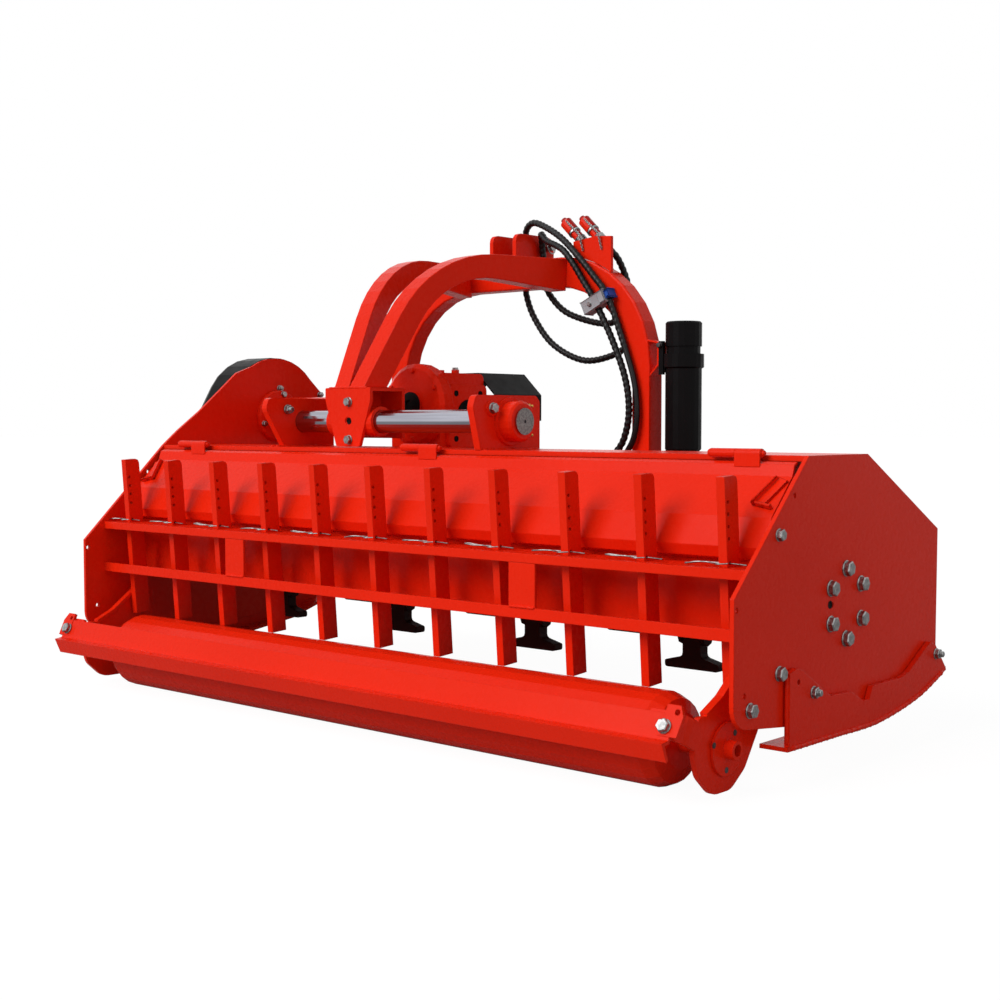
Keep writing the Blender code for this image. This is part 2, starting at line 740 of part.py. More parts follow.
def rear_hood(hood):
    """The hinged rear hood: band, slanted panel, lip and apron in one bent sheet."""
    path = [
        (HINGE_Y + 0.006, HINGE_Z - 0.0165),
        (HINGE_Y - 0.006, HINGE_Z - 0.022),
        (HINGE_Y - 0.014, DECK_TOP - HOOD_BAND_DROP),
        HOOD_CREASE,
        HOOD_LIP,
        (HOOD_LIP[0] + 0.010, HOOD_LIP[1] - 0.023),
        (APRON_Y - 0.003, HOOD_LIP[1] - 0.031),
        (APRON_Y, APRON_BOTTOM),
    ]
    width = INNER_WIDTH - 2 * HOOD_END_GAP
    outline = sheet_outline(path, HOOD_THICKNESS)
    sheet = as_mesh(flat("rear_hood", outline, width, "side", 0, red_paint(), hood))
    for i, centre in enumerate(HINGE_CENTRES):
        middle = centre + KNUCKLE_LENGTH / 2
        knuckle, leaf = hinge_leaf("hood_hinge_%d" % i, middle, hood, KNUCKLE_LENGTH - GAP, False)
        join(sheet, knuckle, leaf)
        cut(sheet, rod("hood_bore_%d" % i, HINGE_PIN_RADIUS + RUN_GAP, KNUCKLE_LENGTH + 0.010, "x",
                       (middle, HINGE_Y, HINGE_Z), None, hood, 10))


def tine_slots(z, height, name, frame):
    """Cutters for the slots in which the leaning tines slide."""
    slots = []
    rear = tine_rear_y(z)
    for i in range(TINE_COUNT):
        x = (i - (TINE_COUNT - 1) / 2) * TINE_PITCH
        half = TINE_WIDTH / 2 + SLIDE_GAP
        slots.append(block("%s_%02d" % (name, i), (x - half, x + half),
                           (rear - 0.0015, rear + TINE_DEPTH + 0.002), (z - height, z + height), None, frame))
    return slots


def rake_upper_beam(frame):
    """A channel open downward, slotted for the tines."""
    front = BEAM_REAR_Y + BEAM_DEPTH
    path = [
        (front, UPPER_BEAM_TOP - UPPER_BEAM_LIP),
        (front, UPPER_BEAM_TOP),
        (BEAM_REAR_Y, UPPER_BEAM_TOP),
        (BEAM_REAR_Y, UPPER_BEAM_TOP - UPPER_BEAM_LIP),
    ]
    beam = as_mesh(flat("rake_upper_beam", sheet_outline(path, BEAM_THICKNESS), INNER_WIDTH - 2 * GAP,
                        "side", 0, red_paint(), frame))
    cut(beam, *tine_slots(UPPER_BEAM_TOP - BEAM_THICKNESS / 2, 0.008, "upper_slot", frame))


def rake_lower_beam(frame):
    """An angle slotted for the tines, with two spacer plates up to the channel."""
    bottom = LOWER_BEAM_TOP - LOWER_BEAM_HEIGHT
    path = [
        (BEAM_REAR_Y, LOWER_BEAM_TOP),
        (BEAM_REAR_Y, bottom),
        (BEAM_REAR_Y + BEAM_DEPTH, bottom),
    ]
    beam = as_mesh(flat("rake_lower_beam", sheet_outline(path, BEAM_THICKNESS), INNER_WIDTH - 2 * GAP,
                        "side", 0, red_paint(), frame))
    cut(beam, *tine_slots(bottom + BEAM_THICKNESS / 2, 0.008, "lower_slot", frame))
    for i, centre in enumerate(SPACER_CENTRES):
        spacer = block("spacer_%d" % i, (centre - SPACER_WIDTH / 2, centre + SPACER_WIDTH / 2),
                       (BEAM_REAR_Y, BEAM_REAR_Y + BEAM_THICKNESS),
                       (LOWER_BEAM_TOP - 0.004, UPPER_BEAM_TOP - UPPER_BEAM_LIP - GAP), None, frame)
        join(beam, spacer)


def tines(machine):
    """Rake tines, each leaning and free to be lifted and pinned higher."""
    top = TINE_LENGTH
    outline = rounded([(0, 0, 0), (TINE_DEPTH, 0, 0), (TINE_DEPTH, top, TINE_ROUND), (0, top, 0)], 2)
    heights = [top - TINE_HOLE_TOP - i * TINE_HOLE_PITCH for i in range(TINE_HOLES)]
    heights[-1] = UPPER_BEAM_TOP + 0.008 - TINE_FOOT[1]
    holes = [circle((TINE_HOLE_INSET, height), TINE_HOLE_RADIUS, 6) for height in heights]
    for i in range(TINE_COUNT):
        x = (i - (TINE_COUNT - 1) / 2) * TINE_PITCH
        place = (x, TINE_FOOT[0], TINE_FOOT[1])
        carrier = body("tine_body_%02d" % (i + 1), place, machine)
        tine = flat("tine_%02d" % (i + 1), outline, TINE_WIDTH, "side", x, red_paint(), carrier, holes)
        tine.location = (0, 0, 0)
        tine.rotation_euler = (math.radians(90), math.radians(-TINE_LEAN), math.radians(90))


def roller(spin):
    """The support roller with rounded ends and stub shafts."""
    nose = [(ROLLER_RADIUS - ROLLER_NOSE * (1 - math.sin(math.radians(a))),
             ROLLER_HALF - ROLLER_NOSE * (1 - math.cos(math.radians(a)))) for a in (0, 45, 90)]
    stub = ARM_OUTER_X - 0.002
    outer = [(ROLLER_BORE_RADIUS, stub), (ROLLER_STUB_RADIUS, stub), (ROLLER_STUB_RADIUS, ROLLER_HALF)] + nose
    inner = [(ROLLER_RADIUS - ROLLER_WALL, ROLLER_HALF - ROLLER_NOSE),
             (ROLLER_BORE_RADIUS, ROLLER_HALF - ROLLER_NOSE)]
    profile = outer + [(radius, -height) for radius, height in reversed(outer)]
    profile += [(radius, -height) for radius, height in reversed(inner)] + inner
    turned("roller", profile, "x", (0, ROLLER_Y, ROLLER_RADIUS), red_paint(), spin, 24, closed=True)


def roller_arm(name, side, frame):
    """One arm with its pivot boss, bearing bore and the curved flange over the roller."""
    middle = side * (ARM_OUTER_X - ARM_THICKNESS / 2)
    y, z = ROLLER_Y, ROLLER_RADIUS
    outline = rounded([
        (y - 0.092, z + 0.074, 0.010), (y - 0.065, z + 0.073, 0), (y - 0.007, z + 0.100, 0),
        (ARM_PIVOT[0] - 0.030, ARM_PIVOT[1] + 0.026, 0.012),
        (ARM_PIVOT[0] + 0.026, ARM_PIVOT[1] + 0.012, 0.020),
        (y + 0.124, z + 0.027, 0.040), (y + 0.070, z - 0.050, 0.045), (y + 0.020, z - 0.084, 0.045),
        (y - 0.045, z - 0.084, 0.045), (y - 0.094, z - 0.040, 0.040), (y - 0.108, z + 0.006, 0.030),
    ], 3)
    bore = circle((y, z), ROLLER_STUB_RADIUS + RUN_GAP, 20)
    arm = as_mesh(flat(name, outline, ARM_THICKNESS, "side", middle, red_paint(), frame, [bore]))
    reach = HALF_WIDTH - GAP - (ARM_OUTER_X - ARM_THICKNESS / 2)
    boss = rod(name + "_boss", ARM_PIVOT_RADIUS, reach, "x",
               (side * (HALF_WIDTH - GAP - reach / 2), *ARM_PIVOT), None, frame, 16)
    edge_path = [(ARM_PIVOT[0] - 0.034, ARM_PIVOT[1] + 0.024), (y - 0.010, z + 0.104), (y - 0.064, z + 0.078)]
    edge = flat(name + "_edge", sheet_outline(edge_path, ARM_EDGE_SHEET), ARM_EDGE_WIDTH, "side",
                side * (ARM_OUTER_X - ARM_EDGE_WIDTH / 2), None, frame)
    corner = ARM_OUTER_X - ARM_BEND_RADIUS
    path = [(corner - ARM_FLANGE_RUNS[0], 0)] + arc((corner, ARM_BEND_RADIUS), ARM_BEND_RADIUS, -90, 0, 4)
    path += [(ARM_OUTER_X, ARM_BEND_RADIUS + ARM_FLANGE_RUNS[1])]
    bend = [(side * a, b) for a, b in sheet_outline(path, ARM_FLANGE_SHEET)]
    flange = flat(name + "_flange", bend, ARM_FLANGE_HEIGHT, "top", 0, None, frame)
    flange.location = Vector((0, y - ARM_FLANGE_BACK, z + ARM_FLANGE_RISE)) - frame.location
    flange.rotation_euler = (math.radians(-ARM_FLANGE_LEAN), 0, 0)
    join(arm, boss, edge, flange)


def bearing_cap(name, side, frame):
    """A round cap over the roller's bearing, with a hub tube."""
    face = ARM_OUTER_X + GAP
    profile = [
        (CAP_HUB_RADIUS, CAP_THICKNESS + CAP_HUB_LENGTH),
        (CAP_HUB_RADIUS, CAP_THICKNESS),
        (CAP_RADIUS, CAP_THICKNESS),
        (CAP_RADIUS, 0),
        (CAP_BORE_RADIUS, 0),
        (CAP_BORE_RADIUS, CAP_THICKNESS + CAP_HUB_LENGTH),
    ]
    cap = turned(name, profile, "x", (side * face, ROLLER_Y, ROLLER_RADIUS), red_paint(), frame, 18,
                 closed=True)
    if side < 0:
        cap.rotation_euler = (0, math.radians(-90), 0)


def scraper_bar(frame):
    """The bent scraper along the roller's rear, with an end tab at each arm."""
    path = [(ROLLER_Y - back, ROLLER_RADIUS + rise) for back, rise in SCRAPER_PATH]
    bar = as_mesh(flat("scraper_bar", sheet_outline(list(reversed(path)), SCRAPER_THICKNESS),
                       2 * SCRAPER_HALF, "side", 0, red_paint(), frame))
    lean = math.degrees(math.atan2(path[3][0] - path[2][0], path[3][1] - path[2][1]))
    for side in (-1, 1):
        outline = [(side * (SCRAPER_HALF + offset), rise) for offset, rise in SCRAPER_TAB]
        hole_x = side * (SCRAPER_HALF + SCRAPER_HOLES[side > 0])
        tab = flat("scraper_tab_%d" % side, outline, SCRAPER_THICKNESS + SCRAPER_TAB_STEP, "front", 0, None,
                   frame, [circle((hole_x, SCRAPER_HOLE_RISE), SMALL_HOLE_RADIUS, 10)])
        place = Vector((0, ROLLER_Y - SCRAPER_TAB_BACK, ROLLER_RADIUS + SCRAPER_TAB_RISE))
        tab.location = place - frame.location
        tab.rotation_euler = (math.radians(90 - lean), 0, 0)
        join(bar, tab)


def skid(name, side, frame):
    """One skid: an upright plate with a notched upper edge on a turned-up sole."""
    inner = HALF_WIDTH + SIDE_THICKNESS + SKID_STEP
    outline = list(SKID_TOP_EDGE) + [(y, SKID_GROUND + rise) for y, rise in SKID_LOW_EDGE]
    hole = circle(SKID_HOLE, SMALL_HOLE_RADIUS, 10)
    plate = as_mesh(flat(name, outline, SKID_THICKNESS, "side", side * (inner + SKID_THICKNESS / 2),
                         red_paint(), frame, [hole]))
    sole_path = [(y, SKID_GROUND + rise) for y, rise in SOLE_PATH]
    sole = flat(name + "_sole", sheet_outline(sole_path, SOLE_THICKNESS), SOLE_WIDTH, "side",
                side * (SOLE_INNER_X + SOLE_WIDTH / 2), None, frame)
    join(plate, sole)


def belt_outline(low_radius, high_radius, steps=14):
    """The closed outline round two circles, about the rotor's axis and the drive's axis."""
    low = Vector((0, ROTOR_Z))
    high = Vector((DRIVE_Y, DRIVE_Z))
    line = high - low
    lean = math.degrees(math.atan2(line.y, line.x))
    spread = math.degrees(math.acos((low_radius - high_radius) / line.length))
    return (arc(high, high_radius, lean - spread, lean + spread, steps)
            + arc(low, low_radius, lean + spread, lean - spread + 360, steps))


def belt_cover(frame):
    """An open shell with a rounded rim over the belt."""
    data = bpy.data.meshes.new("belt_cover")
    shape = bmesh.new()
    rim = [shape.verts.new((-COVER_WIDTH, y, z)) for y, z in belt_outline(COVER_LOW_RADIUS, COVER_TOP_RADIUS)]
    face = shape.faces.new(rim)
    edges = list(face.edges)
    made = bmesh.ops.extrude_edge_only(shape, edges=edges)
    walls = [item for item in made["geom"] if isinstance(item, bmesh.types.BMVert)]
    bmesh.ops.translate(shape, verts=walls, vec=(COVER_WIDTH, 0, 0))
    bmesh.ops.recalc_face_normals(shape, faces=shape.faces)
    if face.normal.x > 0:
        bmesh.ops.reverse_faces(shape, faces=shape.faces)
    shape.to_mesh(data)
    shape.free()
    cover = add("belt_cover", data, black_plastic(), (-HALF_WIDTH - SIDE_THICKNESS - GAP, 0, 0), frame)
    round_edges(cover, COVER_ROUNDING, 2, 60)
    wall = cover.modifiers.new("wall", "SOLIDIFY")
    wall.thickness = COVER_WALL
    wall.offset = -1


def pulley_profile(radius, half):
    """A flat belt seat between two rims, down to the shaft's axis."""
    seat = BELT_WIDTH / 2 + 0.002
    return [(radius + PULLEY_RIM, half), (radius + PULLEY_RIM, seat), (radius, seat),
            (radius, -seat), (radius + PULLEY_RIM, -seat), (radius + PULLEY_RIM, -half)]


def pulley_x():
    return -HALF_WIDTH - SIDE_THICKNESS - PULLEY_OFFSET - PULLEY_WIDTH / 2


def drive_pulley(spin):
    """The upper pulley on its shaft, which runs into the drive tube."""
    half = PULLEY_WIDTH / 2
    shaft_end = DRIVE_SHAFT_REACH - HALF_WIDTH - pulley_x()
    profile = [(0, shaft_end), (DRIVE_SHAFT_RADIUS, shaft_end), (DRIVE_SHAFT_RADIUS, half)]
    profile += pulley_profile(DRIVE_PULLEY_RADIUS, half) + [(0, -half)]
    turned("drive_pulley", profile, "x", (pulley_x(), DRIVE_Y, DRIVE_Z), dark_iron(), spin, 20)


def rotor_pulley(spin):
    """The lower pulley, bored for the rotor's shaft."""
    half = PULLEY_WIDTH / 2
    bore = ROTOR_SHAFT_RADIUS + GAP
    profile = pulley_profile(ROTOR_PULLEY_RADIUS, half) + [(bore, -half), (bore, half)]
    turned("rotor_pulley", profile, "x", (pulley_x(), 0, ROTOR_Z), dark_iron(), spin, 18, closed=True)


def drive_belt(frame):
    """The belt round both pulleys."""
    seat_low = ROTOR_PULLEY_RADIUS + RUN_GAP
    seat_high = DRIVE_PULLEY_RADIUS + RUN_GAP
    outer = belt_outline(seat_low + BELT_THICKNESS, seat_high + BELT_THICKNESS, 18)
    inner = belt_outline(seat_low, seat_high, 18)
    flat("drive_belt", outer, BELT_WIDTH, "side", pulley_x(), belt_rubber(), frame, [inner])


def drive_tube(frame):
    """The tube from the left plate's inner face to the gearbox, with its round flange."""
    left = -HALF_WIDTH + GAP
    right = HEAD_X - GEARBOX_WIDTH / 2 - GAP
    length = right - left
    bore = DRIVE_TUBE_RADIUS - DRIVE_TUBE_WALL
    profile = [
        (DRIVE_TUBE_RADIUS, length),
        (DRIVE_TUBE_RADIUS, DRIVE_FLANGE_THICKNESS + 0.004),
        (DRIVE_FLANGE_RADIUS - 0.004, DRIVE_FLANGE_THICKNESS),
        (DRIVE_FLANGE_RADIUS, DRIVE_FLANGE_THICKNESS - 0.004),
        (DRIVE_FLANGE_RADIUS, 0),
        (bore, 0),
        (bore, length),
    ]
    turned("drive_tube", profile, "x", (left, DRIVE_Y, DRIVE_Z), red_paint(), frame, 20, closed=True)


def bearing_housing(frame):
    """The rotor's right bearing housing inside the side plate."""
    bore = ROTOR_SHAFT_RADIUS + RUN_GAP
    profile = [
        (BEARING_FLANGE_RADIUS, 0),
        (BEARING_FLANGE_RADIUS, -BEARING_FLANGE_THICKNESS),
        (BEARING_HUB_RADIUS, -BEARING_FLANGE_THICKNESS - 0.006),
        (BEARING_HUB_RADIUS, -BEARING_LENGTH),
        (bore, -BEARING_LENGTH),
        (bore, 0),
    ]
    turned("rotor_bearing_housing", profile, "x", (HALF_WIDTH - GAP, 0, ROTOR_Z), dark_iron(), frame, 18,
           closed=True)


def pivot_place(i):
    """The pivot of one hammer, on its row's angle from straight down."""
    angle = math.radians(HAMMER_ROWS[i])
    y = PIVOT_RADIUS * math.sin(angle)
    z = ROTOR_Z - PIVOT_RADIUS * math.cos(angle)
    return (HAMMER_FIRST_X + i * HAMMER_PITCH, y, z)


def rotor(spin):
    """The rotor's tube and shaft, with a pair of lugs and a pivot pin for each hammer."""
    half = HALF_WIDTH - ROTOR_END_SPACE
    left_end = -HALF_WIDTH - SIDE_THICKNESS - PULLEY_OFFSET - PULLEY_WIDTH - 0.004
    profile = [
        (0, HALF_WIDTH - 0.002), (ROTOR_SHAFT_RADIUS, HALF_WIDTH - 0.002), (ROTOR_SHAFT_RADIUS, half),
        (ROTOR_TUBE_RADIUS, half), (ROTOR_TUBE_RADIUS, -half),
        (ROTOR_SHAFT_RADIUS, -half), (ROTOR_SHAFT_RADIUS, left_end), (0, left_end),
    ]
    drum = turned("rotor", profile, "x", (0, 0, ROTOR_Z), dark_iron(), spin, 16)
    inside = HAMMER_STEM / 2 + 2 * RUN_GAP
    outline = [(-LUG_ROUND, -LUG_ROOT), *arc((0, -PIVOT_RADIUS), LUG_ROUND, 180, 360, 4),
               (LUG_ROUND, -LUG_ROOT)]
    for i in range(HAMMER_COUNT):
        x = HAMMER_FIRST_X + i * HAMMER_PITCH
        for side in (-1, 1):
            lug = as_mesh(flat("lug_%d_%d" % (i, side + 1), outline, LUG_THICKNESS, "side",
                               x + side * (inside + LUG_THICKNESS / 2), None, spin))
            lug.location = (x + side * (inside + LUG_THICKNESS / 2), 0, 0)
            lug.rotation_euler = (math.radians(90), math.radians(-HAMMER_ROWS[i]), math.radians(90))
            join(drum, lug)
        pin = rod("pivot_pin_%d" % i, PIVOT_PIN_RADIUS, 2 * (inside + LUG_THICKNESS) - 0.002, "x",
                  pivot_place(i), None, spin, 8)
        join(drum, pin)


def hammers(machine):
    """Swinging hammers with a bored stem and a wide flared foot, shown as they hang."""
    stem = HAMMER_STEM / 2
    foot = HAMMER_FOOT / 2
    bottom = -HAMMER_LENGTH
    toe = bottom + HAMMER_TOE
    flare = toe + HAMMER_FLARE
    outline = rounded([
        (-stem, LUG_ROUND - 0.004, 0.010), (-stem, flare, 0.010), (-foot, toe, 0.004), (-foot, bottom, 0.006),
        (foot, bottom, 0.006), (foot, toe, 0.004), (stem, flare, 0.010), (stem, LUG_ROUND - 0.004, 0.010),
    ], 2)
    for i in range(HAMMER_COUNT):
        place = pivot_place(i)
        swing = body("hammer_body_%d" % (i + 1), place, machine)
        hammer = as_mesh(flat("hammer_%d" % (i + 1), outline, HAMMER_DEPTH, "front", 0, dark_iron(), swing))
        hammer.location = (0, 0, 0)
        bore = rod("hammer_bore_%d" % (i + 1), PIVOT_PIN_RADIUS + RUN_GAP, HAMMER_STEM + 0.02, "x", place,
                   None, swing, 12)
        cut(hammer, bore)


def ear(name, outer_x, side, foot_y, frame):
    """An upright bored plate with a pad and a boss that hold one end of the slide shaft."""
    z = SHAFT_Z
    outline = rounded([
        (foot_y, DECK_TOP + GAP, 0), (EAR_REAR_Y, EAR_TOP - 0.030, 0.020),
        (EAR_REAR_Y + 0.010, EAR_TOP, 0.014),
        (EAR_FRONT_Y - 0.014, EAR_TOP, 0.010), (EAR_FRONT_Y, EAR_TOP - 0.014, 0.006),
        (EAR_FRONT_Y, DECK_TOP + GAP, 0),
    ], 2)
    middle = outer_x - side * EAR_THICKNESS / 2
    bore = circle((SHAFT_Y, z), SHAFT_RADIUS + GAP, 20)
    plate = as_mesh(flat(name, outline, EAR_THICKNESS, "side", middle, red_paint(), frame, [bore]))
    collar = turned(name + "_boss", [
        (EAR_BOSS_RADIUS - 0.006, EAR_BOSS_LENGTH), (EAR_BOSS_RADIUS, EAR_BOSS_LENGTH - 0.006),
        (EAR_BOSS_RADIUS, EAR_PAD_THICKNESS), (EAR_PAD_RADIUS, EAR_PAD_THICKNESS),
        (EAR_PAD_RADIUS, -EAR_THICKNESS / 2), (SHAFT_RADIUS + GAP, -EAR_THICKNESS / 2),
        (SHAFT_RADIUS + GAP, EAR_BOSS_LENGTH),
    ], "x", (outer_x, SHAFT_Y, z), None, frame, 20, closed=True)
    if side < 0:
        collar.rotation_euler = (0, math.radians(-90), 0)
    lobe = rod(name + "_lobe", EAR_LOBE_RADIUS, EAR_THICKNESS / 2 + EAR_PAD_THICKNESS - 0.001, "x",
               (middle + side * (EAR_THICKNESS / 4 + EAR_PAD_THICKNESS / 2), EAR_LOBE_Y, z + EAR_LOBE_RISE),
               None, frame, 12)
    join(plate, collar, lobe)


def slide_shaft(frame):
    left = LEFT_EAR_X - EAR_THICKNESS - EAR_BOSS_LENGTH - 0.002
    right = RIGHT_EAR_X + EAR_BOSS_LENGTH + 0.002
    shaft = rod("slide_shaft", SHAFT_RADIUS, right - left, "x", ((left + right) / 2, SHAFT_Y, SHAFT_Z),
                bright_steel(), frame, 24)
    disc = rod("shaft_end", SHAFT_RADIUS + END_DISC_STEP, 0.004, "x", (right + 0.0015, SHAFT_Y, SHAFT_Z),
               None, frame, 24)
    centre_hole = rod("centre_hole", 0.004, 0.012, "x", (right + 0.002, SHAFT_Y, SHAFT_Z), None, frame, 10)
    cut(join(shaft, disc), centre_hole)


def carriage(slide):
    """The welded box that slides on the shaft and carries the two arms."""
    half = CARRIAGE_WIDTH / 2
    foot = CARRIAGE_FOOT_WIDTH / 2
    plate = CARRIAGE_PLATE
    outline = rounded([
        (HEAD_X - half, CARRIAGE_TOP, 0.004), (HEAD_X - half, CARRIAGE_TOP - CARRIAGE_BAND, 0.020),
        (HEAD_X - foot, DECK_TOP + 0.002, 0.008), (HEAD_X + foot, DECK_TOP + 0.002, 0.008),
        (HEAD_X + half, CARRIAGE_TOP - CARRIAGE_BAND, 0.020), (HEAD_X + half, CARRIAGE_TOP, 0.004),
    ], 3)
    hole = circle((HEAD_X, SHAFT_Z + 0.001), 0.010, 12)
    rear_middle = CARRIAGE_REAR_Y + plate / 2
    front_middle = CARRIAGE_FRONT_Y - plate / 2
    rear = as_mesh(flat("carriage", outline, plate, "front", rear_middle, red_paint(), slide, [hole]))
    x_range = (HEAD_X - half, HEAD_X + half)
    top = block("carriage_top", x_range, (rear_middle, CARRIAGE_FRONT_Y),
                (CARRIAGE_TOP - plate, CARRIAGE_TOP), None, slide)
    front = block("carriage_front", x_range, (CARRIAGE_FRONT_Y - plate, CARRIAGE_FRONT_Y),
                  (SHAFT_Z - CARRIAGE_APRON, CARRIAGE_TOP - plate / 2), None, slide)
    outside = SHAFT_RADIUS + CARRIAGE_BEARING_WALL
    bore = SHAFT_RADIUS + SLIDE_GAP
    bearing = turned("carriage_bearing", [(outside, half), (outside, -half), (bore, -half), (bore, half)],
                     "x", (HEAD_X, SHAFT_Y, SHAFT_Z), None, slide, 18, closed=True)
    rib = block("carriage_rib", (HEAD_X - CARRIAGE_RIB / 2, HEAD_X + CARRIAGE_RIB / 2),
                (rear_middle, front_middle), (SHAFT_Z + 0.036, CARRIAGE_TOP - plate / 2), None, slide)
    web = block("carriage_web", x_range, (SHAFT_Y + 0.034, front_middle),
                (SHAFT_Z - 0.008, SHAFT_Z + 0.008), None, slide)
    join(rear, top, front, bearing, rib, web)


def headstock_arm(name, side, slide):
    """One curved box arm from the carriage to the arch, spreading outward as it rises."""
    foot = CARRIAGE_TOP + GAP
    end = ARCH_REAR_Y - GAP
    outline = rounded([
        (ARM_BASE_Y, foot, 0), (0.1204, ARCH_TOP - 0.012, 0.351), (end, ARCH_TOP - 0.007, 0),
        (end, ARCH_UNDER - 0.014, 0), (0.1667, ARCH_UNDER + 0.022, 0.259), (ARM_BASE_FRONT_Y, foot, 0),
    ], 8)
    arm = as_mesh(flat(name, outline, ARM_WIDTH, "side", HEAD_X + side * ARM_BASE_OFFSET, red_paint(), slide))
    forward = side * math.tan(math.radians(ARM_SPREAD))
    upward = side * math.tan(math.radians(ARM_RISE_SPREAD))
    for vertex in arm.data.vertices:
        vertex.co.z += forward * (vertex.co.x - ARM_BASE_Y) + upward * (vertex.co.y - foot)
    round_edges(arm, ARM_EDGE, 2, 50)


def arch_loop(half, top, radius):
    """Half-width, top and corner radius of one line of the arch, from foot to foot."""
    return rounded([
        (HEAD_X - half, ARCH_FOOT_Z, 0), (HEAD_X - half, top, radius),
        (HEAD_X + half, top, radius), (HEAD_X + half, ARCH_FOOT_Z, 0),
    ], 8)


def arch(slide):
    """The arch with its sliding sleeves, link plates, lower pins and top lugs."""
    outline = arch_loop(ARCH_OUTER_HALF, ARCH_TOP, ARCH_OUTER_RADIUS)
    outline += list(reversed(arch_loop(ARCH_INNER_HALF, ARCH_UNDER, ARCH_INNER_RADIUS)))
    middle = ARCH_REAR_Y + ARCH_DEPTH / 2
    frame = as_mesh(flat("arch", outline, ARCH_DEPTH, "front", middle, red_paint(), slide))
    round_edges(frame, ARCH_EDGE, 2, 60)
    web = LEG_FACE_X + CHANNEL_DEPTH
    channel = sheet_outline([(LEG_FACE_X - 0.010, 0.955), (web, 0.948), (web, 0.890),
                             (LEG_FACE_X - 0.004, 0.862)], CHANNEL_SHEET)
    join(frame, flat("leg_channel", channel, CHANNEL_WIDTH, "front", middle - CHANNEL_BACK, None, slide))
    for side in (-1, 1):
        x = HEAD_X + side * (ARCH_OUTER_HALF + ARCH_INNER_HALF) / 2
        tag = "left" if side < 0 else "right"
        bore = GUIDE_SIDE / 2 + SLIDE_GAP
        outer = bore + SLEEVE_WALL
        y_range = (GUIDE_Y - outer, ARCH_REAR_Y + 0.008)
        sleeve = block("sleeve_" + tag, (x - SLEEVE_WIDTH / 2, x + SLEEVE_WIDTH / 2), y_range,
                       (GUIDE_Z - outer, GUIDE_Z + outer), None, slide)
        passage = block("sleeve_bore_" + tag, (x - SLEEVE_WIDTH, x + SLEEVE_WIDTH),
                        (GUIDE_Y - bore, GUIDE_Y + bore), (GUIDE_Z - bore, GUIDE_Z + bore), None, slide)
        plate = flat("link_plate_" + tag, rounded([
            (ARCH_REAR_Y + ARCH_DEPTH - 0.010, ARCH_FOOT_Z + 0.004, 0),
            (LOWER_PIN_Y + LINK_NOSE, LOWER_PIN_Z - LINK_HALF_HEIGHT, 0.020),
            (LOWER_PIN_Y + LINK_NOSE, LOWER_PIN_Z + LINK_HALF_HEIGHT, 0.020),
            (ARCH_REAR_Y + ARCH_DEPTH - 0.010, LOWER_PIN_Z + LINK_RISE, 0),
        ], 3), LINK_THICKNESS, "side", x, None, slide)
        pin = rod("lower_pin_" + tag, LOWER_PIN_RADIUS, LOWER_PIN_LENGTH, "x",
                  (x + side * 0.045, LOWER_PIN_Y, LOWER_PIN_Z), None, slide, 16)
        join(frame, sleeve)
        cut(frame, passage)
        join(frame, plate, pin)
        back = ARCH_REAR_Y - TOP_LUG_BACK
        nose = ARCH_REAR_Y + TOP_LUG_REACH
        lug = flat("top_lug_" + tag, rounded([
            (back, ARCH_TOP - 0.004, 0), (nose, ARCH_TOP - 0.004, 0),
            (nose, ARCH_TOP + TOP_LUG_HEIGHT, 0.030), (back, ARCH_TOP + TOP_LUG_HEIGHT, 0.022),
        ], 3), TOP_LUG_THICKNESS, "side", HEAD_X + side * LUG_OFFSET, None, slide)
        join(frame, lug)
    cut(frame, rod("top_pin_bore", TOP_PIN_RADIUS + GAP, 0.160, "x", (HEAD_X, *TOP_PIN), None, slide, 16))


def top_link_pin(slide):
    pin = rod("top_link_pin", TOP_PIN_RADIUS, TOP_PIN_LENGTH, "x", (HEAD_X + 0.008, *TOP_PIN), bright_steel(),
              slide, 16)
    collar = rod("top_pin_collar", TOP_PIN_RADIUS + 0.005, 0.008, "x",
                 (HEAD_X - LUG_OFFSET - TOP_LUG_THICKNESS / 2 - 0.006, *TOP_PIN), None, slide, 16)
    join(pin, collar)


def hydraulic_couplers(slide):
    """Two capped quick couplers on a bracket that stands on the arch's right shoulder."""
    left, right = [LEG_FACE_X - step for step in COUPLER_PLATE_STEPS]
    shoulder = (LEG_FACE_X - ARCH_OUTER_RADIUS, ARCH_TOP - ARCH_OUTER_RADIUS)
    start = math.degrees(math.acos((right - shoulder[0]) / ARCH_OUTER_RADIUS))
    end = math.degrees(math.acos((left - shoulder[0]) / ARCH_OUTER_RADIUS))
    outline = arc(shoulder, ARCH_OUTER_RADIUS + 0.001, start, end, 6)
    outline += [(left, COUPLER_Z - 0.002), (right - 0.055, COUPLER_Z + 0.008), (right, COUPLER_Z + 0.004)]
    bracket = as_mesh(flat("hydraulic_couplers", outline, 0.010, "front", COUPLER_Y - COUPLER_PLATE_BACK,
                           red_paint(), slide))
    lean = math.radians(COUPLER_LEAN)
    along = Vector((-math.sin(lean), 0, math.cos(lean)))
    for i, step in enumerate(COUPLER_STEPS):
        end = Vector((LEG_FACE_X - step, COUPLER_Y, COUPLER_Z))
        for part, (radius, length, start) in COUPLER_PARTS.items():
            centre = end + along * (start + length / 2)
            piece = rod("coupler_%s_%d" % (part, i), radius, length, "z", centre, None, slide, 14)
            piece.rotation_euler = (0, -lean, 0)
            join(bracket, piece)


